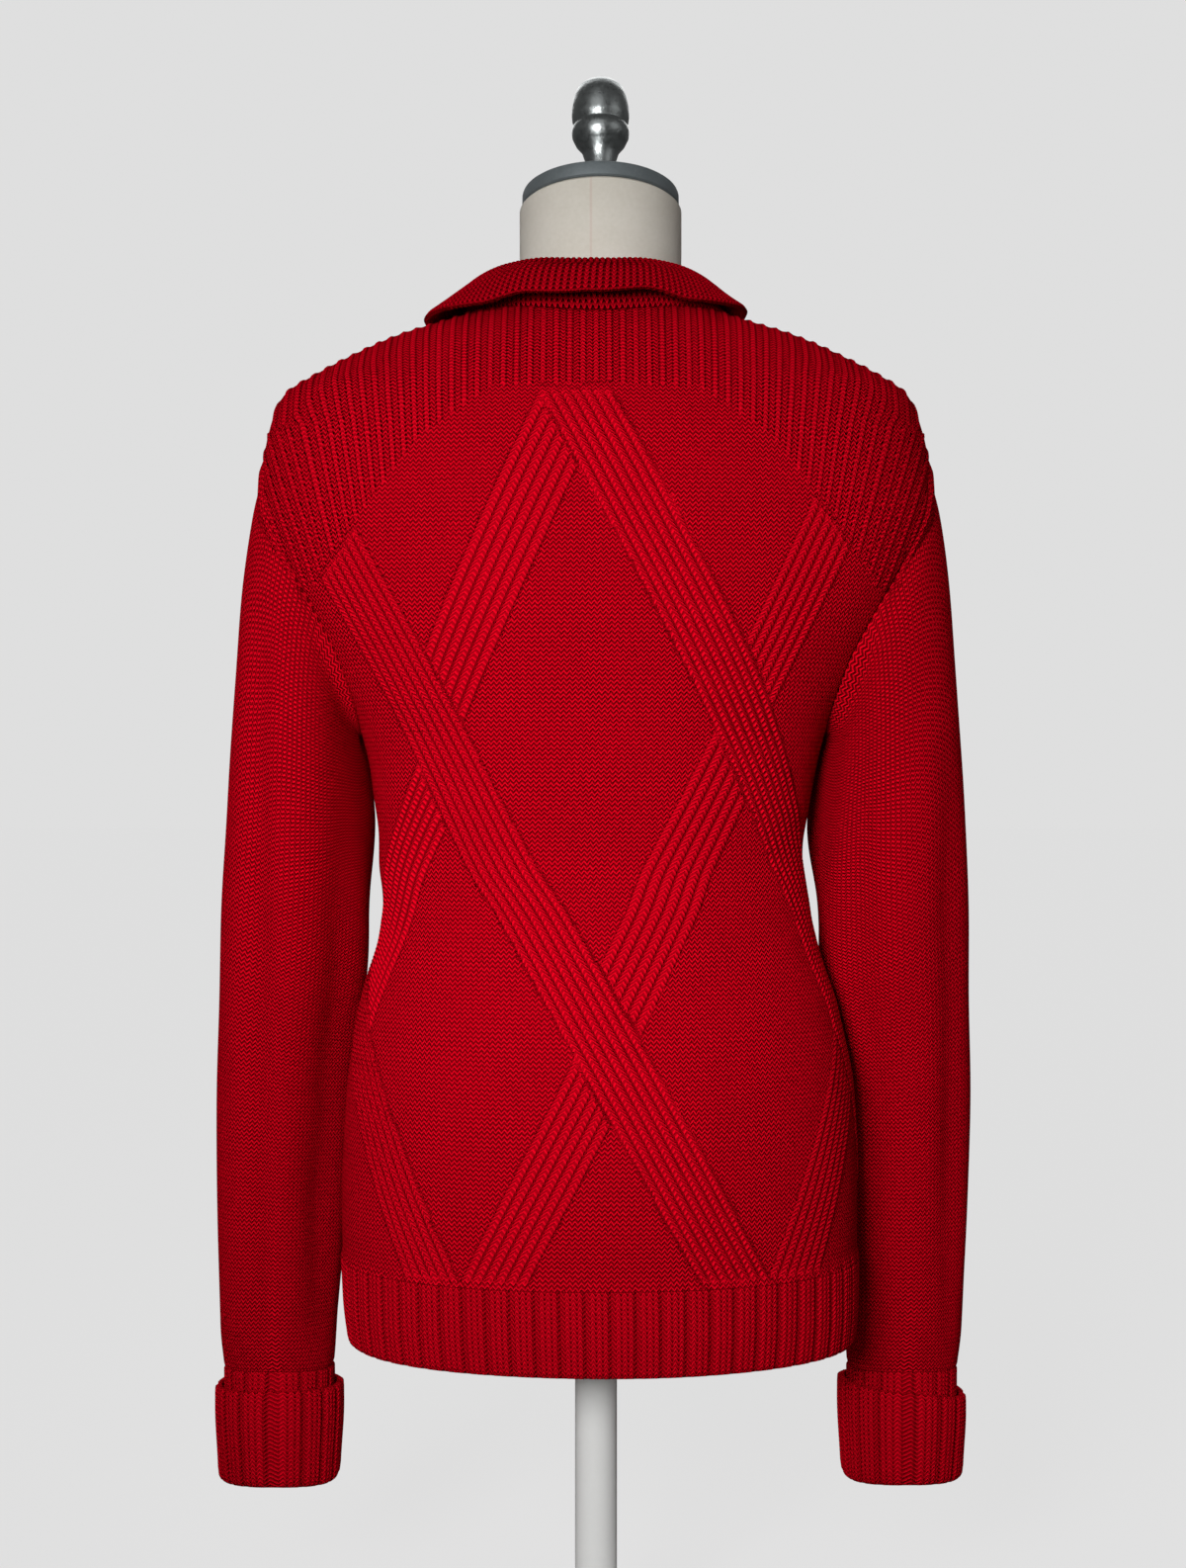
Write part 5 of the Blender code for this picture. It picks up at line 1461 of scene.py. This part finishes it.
@dataclass
class Opening:
    """The placket on the front and its buttons."""

    half: float = 0.0150
    ribs: int = 7
    rounded: float = 0.12  # share of the half width that rolls over at each edge
    top: float = 0.7480
    bottom: float = 0.6260
    lift: float = 0.0006
    buttons: tuple[float, ...] = (0.7260, 0.6890, 0.6520)
    radius: float = 0.0062
    thick: float = 0.0024
    hole: float = 0.0014  # how far a button's holes stand from its middle lines

    def skin(self, across: Array, height: float, lift: Array) -> Array:
        """Points over the front's face at one height."""
        points = TORSO.face(across, height, back=False)
        return points + TORSO.normals(points) * np.asarray(lift)[..., None]

    def placket(self) -> bpy.types.Object:
        """Makes the placket, a ribbed band with rolled edges."""
        shares = np.linspace(-1, 1, 57)
        heights = np.linspace(self.bottom, self.top, 60)
        near = np.minimum(1 - np.abs(shares), self.rounded) / self.rounded
        relief = rib_top(shares * self.ribs / 2) * ease(near)
        base = self.lift + RISE
        face, back = [], []
        for height in heights:
            end = 0.0008 if height in (heights[0], heights[-1]) else 0.0
            roll = (1 - np.sqrt(near)) * 0.0012 + end
            face.append(self.skin(shares * self.half, height, base + WALL + 0.0007 * relief - roll))
            back.append(self.skin(shares * self.half, height, np.full(len(shares), base)))
        grid = np.array([*face, *back[::-6], back[0]])
        downs = np.array([*heights, *heights[::-6], heights[0], heights[0]])
        piece = Piece("knit_placket", Finish.WIDE_RIB)
        numbers = piece.add_grid(grid, flat_map(shares * self.half, downs), wrap_rows=True)
        cap_ends(piece, numbers)
        return piece.make("placket", merge=1e-6)

    def place(self, height: float) -> Matrix:
        """The frame of a button's foot."""
        lift = self.lift + RISE + WALL + SEAM
        foot, tip = (
            Vector(self.skin(np.array([1e-5]), height, np.array([lift + more]))[0]) for more in (0.0, 0.01)
        )
        turn = (tip - foot).to_track_quat("Z", "Y").to_matrix().to_4x4()
        return Matrix.Translation(foot) @ turn

    def button(self, number: int, height: float) -> list[bpy.types.Object]:
        """Makes a four-hole button and its thread.

        Args:
            number: which button, from the top.
            height: how high it sits.

        Returns:
            The button and the thread.
        """
        disc = Shop.cylinder(f"button_disc_{number}", self.radius, self.thick, 48)
        Shop.inset_top(disc, self.radius * 0.22, -0.0008)
        Shop.bevel(disc, 0.0004, 2)
        for x in (-self.hole, self.hole):
            for y in (-self.hole, self.hole):
                Shop.cut(disc, Shop.cylinder("cutter", 0.0006, 0.02, 12, (x, y, -0.008)))
        thread = Shop.cylinder(f"button_thread_{number}", 0.0004, 0.0034, 8, (-self.hole, 0.0, 0.0))
        lying = Matrix.Translation((0, 0.0017, self.thick * 0.62)) @ Matrix.Rotation(math.pi / 2, 4, "X")
        thread.data.transform(lying)
        other = thread.copy()
        other.data = thread.data.copy()
        bpy.context.scene.collection.objects.link(other)
        other.data.transform(Matrix.Translation((2 * self.hole, 0, 0)))
        Shop.join(thread, other)
        for made in (disc, thread):
            made.data.transform(self.place(height))
        Shop.finish(disc, Finish.BUTTON, f"button_{number}", 35)
        Shop.finish(thread, Finish.THREAD, "", 35)
        return [disc, thread]

    def build(self) -> list[bpy.types.Object]:
        """Makes the placket and every button."""
        made = [self.placket()]
        for number, height in enumerate(self.buttons, 1):
            made += self.button(number, height)
        return made


# --- Rigid pieces ----------------------------------------------------------------------------------
class Shop:
    """Modelling steps on rigid pieces, as by hand."""

    @staticmethod
    def alone(made: bpy.types.Object) -> None:
        """Selects one object and nothing else."""
        for item in bpy.context.view_layer.objects:
            item.select_set(item == made)
        bpy.context.view_layer.objects.active = made

    @staticmethod
    def settle(made: bpy.types.Object, name: str) -> bpy.types.Object:
        """Names a new object and puts its place into its mesh."""
        made.name = made.data.name = name
        made.data.transform(made.matrix_world)
        made.matrix_world = Matrix.Identity(4)
        return made

    @classmethod
    def cylinder(
        cls, name: str, radius: float, height: float, sides: int, foot: tuple[float, float, float] = (0, 0, 0)
    ) -> bpy.types.Object:
        """A cylinder that stands on its foot."""
        bpy.ops.mesh.primitive_cylinder_add(
            radius=radius, depth=height, vertices=sides, location=(foot[0], foot[1], foot[2] + height / 2)
        )
        bpy.context.view_layer.update()
        return cls.settle(bpy.context.active_object, name)

    @classmethod
    def inset_top(cls, made: bpy.types.Object, thickness: float, depth: float) -> None:
        """Insets the upper face and moves it down or up."""
        cls.alone(made)
        bpy.ops.object.mode_set(mode="EDIT")
        bpy.ops.mesh.select_all(action="DESELECT")
        body = bmesh.from_edit_mesh(made.data)
        top = max(face.calc_center_median().z for face in body.faces)
        for face in body.faces:
            face.select_set(face.normal.z > 0.9 and face.calc_center_median().z > top - 1e-5)
        bmesh.update_edit_mesh(made.data)
        bpy.ops.mesh.inset(thickness=thickness, depth=0.0)
        bpy.ops.transform.translate(value=(0, 0, depth))
        bpy.ops.object.mode_set(mode="OBJECT")

    @classmethod
    def modify(cls, made: bpy.types.Object, kind: str, **settings: object) -> None:
        """Adds a modifier and applies it."""
        cls.alone(made)
        modifier = made.modifiers.new(kind.lower(), kind)
        for key, value in settings.items():
            setattr(modifier, key, value)
        bpy.ops.object.modifier_apply(modifier=modifier.name)

    @classmethod
    def bevel(cls, made: bpy.types.Object, width: float, segments: int) -> None:
        """Rounds the sharp edges."""
        turn = math.radians(40)
        cls.modify(made, "BEVEL", width=width, segments=segments, limit_method="ANGLE", angle_limit=turn)

    @classmethod
    def cut(cls, made: bpy.types.Object, cutter: bpy.types.Object) -> None:
        """Cuts one shape out of another and removes the cutter."""
        cls.modify(made, "BOOLEAN", operation="DIFFERENCE", object=cutter, solver="EXACT")
        bpy.data.objects.remove(cutter, do_unlink=True)

    @classmethod
    def join(cls, made: bpy.types.Object, other: bpy.types.Object) -> None:
        """Makes two objects one."""
        cls.alone(made)
        other.select_set(True)
        bpy.ops.object.join()

    @classmethod
    def finish(cls, made: bpy.types.Object, finish: Finish, node: str, sharp: float) -> bpy.types.Object:
        """Smooths a piece, keeps its edges sharp above an angle in degrees, and dresses it."""
        cls.alone(made)
        bpy.ops.object.shade_smooth_by_angle(angle=math.radians(sharp))
        return dressed(made, finish, node)

    @classmethod
    def spun(cls, name: str, profile: Sequence[tuple[float, float]], steps: int) -> bpy.types.Object:
        """A turned piece from its profile of radius and height, foot to top, closed on its axis.

        Args:
            name: the piece's name.
            profile: radius and height of each point.
            steps: faces round it.

        Returns:
            The new object on the Z axis.
        """
        mesh = bpy.data.meshes.new(name)
        points = [(radius, 0.0, height) for radius, height in profile]
        mesh.from_pydata(points, [(k, k + 1) for k in range(len(points) - 1)], [])
        made = bpy.data.objects.new(name, mesh)
        bpy.context.scene.collection.objects.link(made)
        cls.alone(made)
        bpy.ops.object.mode_set(mode="EDIT")
        bpy.ops.mesh.select_all(action="SELECT")
        bpy.ops.mesh.spin(steps=steps, angle=math.tau, center=(0, 0, 0), axis=(0, 0, 1))
        bpy.ops.mesh.select_all(action="SELECT")
        bpy.ops.mesh.remove_doubles(threshold=1e-6)
        bpy.ops.mesh.normals_make_consistent(inside=False)
        bpy.ops.object.mode_set(mode="OBJECT")
        if volume_of(made.data) < 0:
            made.data.flip_normals()
        return made


@dataclass
class Stand:
    """The dress form with its neck cap, finial, pole and base."""

    bottom: float = 0.2040
    linen_width: float = 0.60
    neck_x: float = 0.0027
    neck_y: float = -0.0020
    neck_radius: float = 0.0482
    neck_half_depth: float = 0.0480
    neck_round: float = 0.0016
    cap_radius: float = 0.0466
    cap_tilt: float = math.radians(13)
    cap_top: float = 0.8808
    cap_thick: float = 0.0095
    pole_radius: float = 0.0125
    base_radius: float = 0.1400
    base_thick: float = 0.0150

    # height, how far the side draws in, gap behind the cloth
    INSETS = (
        (0.190, 0.0000, 0.0030),
        (0.550, 0.0000, 0.0030),
        (0.580, 0.0060, 0.0030),
        (0.627, 0.0240, 0.0030),
        (0.655, 0.0320, 0.0030),
        (0.690, 0.0310, 0.0028),
        (0.725, 0.0200, 0.0028),
        (0.740, 0.0140, 0.0026),
        (0.755, 0.0090, 0.0022),
        (0.774, 0.0040, 0.0018),
        (0.784, 0.0020, 0.0026),
        (0.795, 0.0020, 0.0040),
        (0.820, 0.0020, 0.0040),
    )

    def neck_frame(self) -> Matrix:
        """The slanted frame of the neck's top."""
        middle = Matrix.Translation((self.neck_x, self.neck_y, self.cap_top))
        return middle @ Matrix.Rotation(-self.cap_tilt, 4, "X")

    def torso_rings(self, columns: int) -> list[Array]:
        """Rings of the form under the cloth."""
        places, insets, gaps = zip(*self.INSETS)
        inset_of, gap_of = Curve(places, insets), Curve(places, gaps)
        rings = []
        heights = [*np.linspace(self.bottom, 0.72, 60), *np.linspace(0.727, 0.7985, 26)]
        for height in heights:
            half = columns // 2
            side = np.where(np.arange(columns) <= half, 1.0, -1.0)
            share = np.where(side > 0, np.arange(columns), columns - np.arange(columns)) / half
            points = TORSO.row(share * TORSO.girth(height), side, height)
            points = points - TORSO.normals(points) * (WALL + float(gap_of(height)))
            width = float(TORSO.half_width(height))
            share = np.minimum(np.abs(points[:, 0]) / width, 1.0)
            points[:, 0] *= 1 - float(inset_of(height)) / width * share
            if height == self.bottom:
                points[:, 2] = self.bottom
            rings.append(points)
        return rings

    def oval(self, columns: int, height: float, half_x: float, half_y: float, tilt: float = 0.0) -> Array:
        """An oval ring of the neck."""
        turn = math.tau * np.arange(columns) / columns
        x, y = half_x * np.sin(turn), -half_y * np.cos(turn)
        return np.stack([self.neck_x + x, self.neck_y + y, height - math.tan(tilt) * y], axis=-1)

    def form(self) -> bpy.types.Object:
        """Makes the linen-covered form, with its neck cut off slantwise."""
        columns = 112
        rings = self.torso_rings(columns)
        cut = self.cap_top - self.cap_thick / math.cos(self.cap_tilt) - SEAM * 1.5
        guides = [
            rings[-3],
            rings[-1],
            self.oval(columns, 0.8050, 0.0590, 0.0470),
            self.oval(columns, 0.8160, 0.0510, 0.0470),
            self.oval(columns, 0.8300, self.neck_radius, self.neck_half_depth),
            self.oval(columns, 0.8450, self.neck_radius, self.neck_half_depth),
            self.oval(columns, cut - 0.0015, self.neck_radius, self.neck_half_depth, self.cap_tilt),
        ]
        radius, half_depth = self.neck_radius - self.neck_round, self.neck_half_depth - self.neck_round
        rings += [*through(np.array(guides), 6)[7:]]
        rings.append(self.oval(columns, cut, radius, half_depth, self.cap_tilt))
        grid = np.array(rings)
        around = np.arange(columns + 1) / columns * self.linen_width
        piece = Piece("linen_form", Finish.LINEN)
        numbers = piece.add_grid(grid, flat_map(around, lengths(grid).mean(axis=1)), wrap_columns=True)
        for ring, middle_z, flip in ((numbers[0], self.bottom, True), (numbers[-1], cut, False)):
            centre = piece.size
            place = np.array([[self.neck_x if middle_z == cut else 0.0, 0.0, middle_z]])
            piece.points.append(place)
            piece.ribs.append(np.zeros((1, 3)))
            fan = np.stack([ring, np.roll(ring, -1), np.full(columns, centre)], axis=-1)
            piece.add_faces(fan[:, ::-1] if flip else fan)
        return piece.make("form_body", sharp=50.0)

    def cap(self) -> bpy.types.Object:
        """Makes the cast plate on the neck, with its raised rim."""
        rim, thick = self.cap_radius, self.cap_thick
        profile = [
            (0.0, -thick),
            (rim - 0.0012, -thick),
            (rim - 0.0002, -thick + 0.0008),
            (rim, -thick + 0.0020),
            (rim, -0.0022),
            (rim - 0.0004, -0.0010),
            (rim - 0.0014, -0.0002),
            (rim - 0.0030, 0.0),
            (rim - 0.0050, -0.0001),
            (rim - 0.0064, -0.0007),
            (0.0140, -0.0005),
            (0.0, -0.0005),
        ]
        made = Shop.spun("cast_neck_cap", profile, 96)
        made.data.transform(self.neck_frame())
        return Shop.finish(made, Finish.CAST, "neck_cap", 30)

    def finial(self) -> list[bpy.types.Object]:
        """Makes the turned finial with two beads and the small lug at its foot."""
        profile = [
            (0.0, SEAM),
            (0.0100, SEAM),
            (0.0112, 0.0010),
            (0.0112, 0.0030),
            (0.0100, 0.0052),
            (0.0092, 0.0090),
            (0.0090, 0.0160),
            (0.0094, 0.0220),
            (0.0112, 0.0280),
            (0.0148, 0.0325),
            (0.0169, 0.0370),
            (0.0172, 0.0400),
            (0.0168, 0.0430),
            (0.0157, 0.0448),
            (0.0158, 0.0456),
            (0.0169, 0.0476),
            (0.0173, 0.0510),
            (0.0171, 0.0565),
            (0.0160, 0.0630),
            (0.0137, 0.0688),
            (0.0092, 0.0726),
            (0.0035, 0.0740),
            (0.0, 0.0742),
        ]
        made = Shop.spun("turned_finial", profile, 64)
        lug = Shop.cylinder("finial_lug", 0.0062, 0.0088, 4)
        square = Matrix.Rotation(math.pi / 4, 4, "Z")
        lug.data.transform(Matrix.Translation((-0.0022, -0.0100, 0.0002)) @ square)
        Shop.bevel(lug, 0.0008, 3)
        for item, node in ((made, "finial"), (lug, "")):
            item.data.transform(self.neck_frame())
            Shop.finish(item, Finish.TURNED, node, 40)
        return [made, lug]

    def pole(self) -> bpy.types.Object:
        """Makes the pole with its flange under the form."""
        foot, top = self.base_thick + SEAM, self.bottom - SEAM
        radius = self.pole_radius
        profile = [
            (0.0, foot),
            (radius - 0.0005, foot),
            (radius, foot + 0.0005),
            (radius, top - 0.0120),
            (radius + 0.0008, top - 0.0095),
            (radius + 0.0030, top - 0.0075),
            (radius + 0.0105, top - 0.0055),
            (radius + 0.0120, top - 0.0042),
            (radius + 0.0120, top - 0.0006),
            (radius + 0.0114, top),
            (0.0, top),
        ]
        return Shop.finish(Shop.spun("painted_pole", profile, 64), Finish.POLE, "stand_pole", 40)

    def base(self) -> bpy.types.Object:
        """Makes the round base with its stepped, rounded rim."""
        radius, thick = self.base_radius, self.base_thick
        rim = [(1 - math.cos(turn), math.sin(turn)) for turn in np.linspace(0, 1.35, 6)]
        profile = [
            (0.0, 0.0),
            (radius - 0.0010, 0.0),
            (radius, 0.0010),
            *[(radius - 0.0035 * inwards, thick * 0.45 + 0.0045 * up) for inwards, up in rim],
            (radius - 0.0080, thick * 0.85),
            (radius - 0.0300, thick * 0.91),
            (self.pole_radius + 0.0160, thick - 0.0002),
            (self.pole_radius + 0.0150, thick),
            (0.0, thick),
        ]
        return Shop.finish(Shop.spun("painted_base", profile, 128), Finish.BASE, "stand_base", 30)

    def build(self) -> list[bpy.types.Object]:
        """Makes the whole stand."""
        return [self.form(), self.cap(), *self.finial(), self.pole(), self.base()]


# --- Studio ----------------------------------------------------------------------------------------
@dataclass
class Studio:
    """The camera, the pale floor and the light."""

    eye: tuple[float, float, float] = (-0.0018, -1.546, 0.530)
    lens: float = 59.5
    grey: float = 0.737
    ambient: float = 0.12
    floor_grey: float = 0.15
    glow: float = 0.660  # the floor looks lit from within, so that shadows on it are faint
    key_place: tuple[float, float, float] = (-0.45, -1.75, 0.80)
    key_watts: float = 2.9
    key_width: float = 0.5
    key_spread: float = 44.0

    def camera(self) -> None:
        """Puts the camera straight behind the sweater, level with its waist."""
        lens = bpy.data.cameras.new("camera")
        lens.lens, lens.sensor_width = self.lens, 36.0
        made = bpy.data.objects.new("camera", lens)
        made.location = self.eye
        made.rotation_euler = (math.pi / 2, 0, 0)
        bpy.context.scene.collection.objects.link(made)
        bpy.context.scene.camera = made

    def floor(self) -> None:
        """Lays the floor."""
        bpy.ops.mesh.primitive_circle_add(vertices=96, radius=30, fill_type="NGON", location=(0, 0, -0.0002))
        floor = bpy.context.active_object
        floor.name = "floor"
        n = Nodes("floor_paper")
        low, high = self.floor_grey * 0.995, self.floor_grey * 1.005
        seen = n.node("ShaderNodeLightPath").outputs["Is Camera Ray"]
        n.shade(
            Base_Color=n.blend(n.noise(3.0, 2.0), (low,) * 3, (high,) * 3),
            Roughness=1.0,
            Specular_IOR_Level=0.0,
            Emission_Color=(1.0, 1.0, 1.0, 1.0),
            Emission_Strength=n.times(seen, self.glow),
        )
        floor.data.materials.append(n.material)

    def world(self) -> None:
        """Surrounds the scene with pale light."""
        world = bpy.data.worlds.new("studio")
        bpy.context.scene.world = world
        world.use_nodes = True
        tree = world.node_tree
        shown, lit = tree.nodes["Background"], tree.nodes.new("ShaderNodeBackground")
        for light, strength in ((shown, self.grey), (lit, self.ambient)):
            light.inputs["Color"].default_value = (1, 1, 1, 1)
            light.inputs["Strength"].default_value = strength
        path, mix = tree.nodes.new("ShaderNodeLightPath"), tree.nodes.new("ShaderNodeMixShader")
        tree.links.new(path.outputs["Is Camera Ray"], mix.inputs[0])
        tree.links.new(lit.outputs[0], mix.inputs[1])
        tree.links.new(shown.outputs[0], mix.inputs[2])
        tree.links.new(mix.outputs[0], tree.nodes["World Output"].inputs["Surface"])

    @staticmethod
    def light(name: str, kind: str, towards: Vector, **settings: float) -> bpy.types.Object:
        """Adds a light.

        Args:
            name: its name.
            kind: Blender's kind of light.
            towards: the way it shines.
            settings: the light's own properties.

        Returns:
            The new light.
        """
        lamp = bpy.data.lights.new(name, kind)
        for key, value in settings.items():
            setattr(lamp, key, value)
        made = bpy.data.objects.new(name, lamp)
        made.rotation_mode = "QUATERNION"
        made.rotation_quaternion = towards.to_track_quat("-Z", "Y")
        bpy.context.scene.collection.objects.link(made)
        return made

    def sun(self, name: str, strength: float, azimuth: float, elevation: float, softness: float) -> None:
        """Adds a soft distant light.

        Args:
            name: its name.
            strength: its strength.
            azimuth: where it stands: 0 is behind the camera, 90 on the right.
            elevation: how high, in degrees.
            softness: its width, in degrees.
        """
        a, e = math.radians(azimuth), math.radians(elevation)
        towards = Vector((-math.sin(a) * math.cos(e), math.cos(a) * math.cos(e), -math.sin(e)))
        self.light(name, "SUN", towards, energy=strength, angle=math.radians(softness))

    def key(self) -> None:
        """Adds the soft square light in front of the camera's left, facing the sweater's middle."""
        place = Vector(self.key_place)
        towards = Vector((0, 0, 0.50)) - place
        beam = math.radians(self.key_spread)
        made = self.light("key", "AREA", towards, energy=self.key_watts, size=self.key_width, spread=beam)
        made.location = place

    def build(self) -> None:
        """Makes the studio."""
        bpy.context.scene.view_settings.view_transform = "Standard"
        self.camera()
        self.floor()
        self.world()
        self.key()
        self.sun("fill", 0.42, -15, 30, 50)
        self.sun("side", 0.20, 60, 15, 40)
        self.sun("back", 1.4, 180, 40, 60)


# --- The sweater -----------------------------------------------------------------------------------
class Sweater:
    """Every cloth piece of the sweater."""

    def __init__(self) -> None:
        """Sets out the pieces."""
        self.back = Panel(
            "knit_back_panel",
            back=True,
            columns=329,
            row_step=0.0023,
            crest_rows=36,
            yoke=(
                (0.000, 0.7545),
                (0.058, 0.7535),
                (0.070, 0.7450),
                (0.085, 0.7350),
                (0.100, 0.7240),
                (0.125, 0.6930),
                (0.150, 0.6620),
                (0.170, 0.6430),
                (0.230, 0.6300),
            ),
        )
        self.front = Panel(
            "knit_front_panel",
            back=False,
            columns=265,
            row_step=0.0032,
            crest_rows=30,
            yoke=((0.000, 0.7150), (0.060, 0.7150), (0.085, 0.7060), (0.120, 0.6900), (0.230, 0.6500)),
        )
        self.hems = [HemRib("knit_hem_rib_back", True), HemRib("knit_hem_rib_front", False)]
        self.sleeves = [
            Sleeve(
                "knit_sleeve_left",
                -1,
                0.0040,
                (
                    Crease(0.145, 0.235, 0.640, 0.155, 0.0080, 0.038),
                    Crease(0.400, 0.390, 0.620, 0.150, 0.0110, 0.085),
                    Crease(0.700, 0.730, 0.600, 0.240, 0.0040, 0.055),
                ),
                tuck=0.0070,
                tuck_bottom=0.445,
                seed=5,
            ),
            Sleeve(
                "knit_sleeve_right",
                1,
                -0.0025,
                (
                    Crease(0.350, 0.330, 0.620, 0.165, 0.0080, 0.050),
                    Crease(0.120, 0.140, 0.560, 0.170, 0.0050, 0.045),
                    Crease(0.760, 0.720, 0.560, 0.220, 0.0040, 0.055),
                ),
                tuck=0.0125,
                tuck_bottom=0.440,
                seed=6,
            ),
        ]
        self.cuffs = [
            Cuff("knit_cuff_left", -1, 0.1948, 0.1036, 0.1632, 0.0005),
            Cuff("knit_cuff_right", 1, 0.1882, 0.1050, 0.1622, 0.0050),
        ]
        self.collar = Collar()
        self.opening = Opening()

    def build(self) -> None:
        back, front = self.back.build(), self.front.build()
        hems = [rib.build() for rib in self.hems]
        sleeves = [sleeve.build() for sleeve in self.sleeves]
        cuffs = [cuff.build() for cuff in self.cuffs]
        collar = self.collar.build()
        placket, *buttons = self.opening.build()


def main() -> None:
    """Builds the scene."""
    logging.basicConfig(level=logging.INFO, format="%(name)s: %(message)s")
    Studio().build()
    Stand().build()
    Sweater().build()


if __name__ == "__main__":
    main()
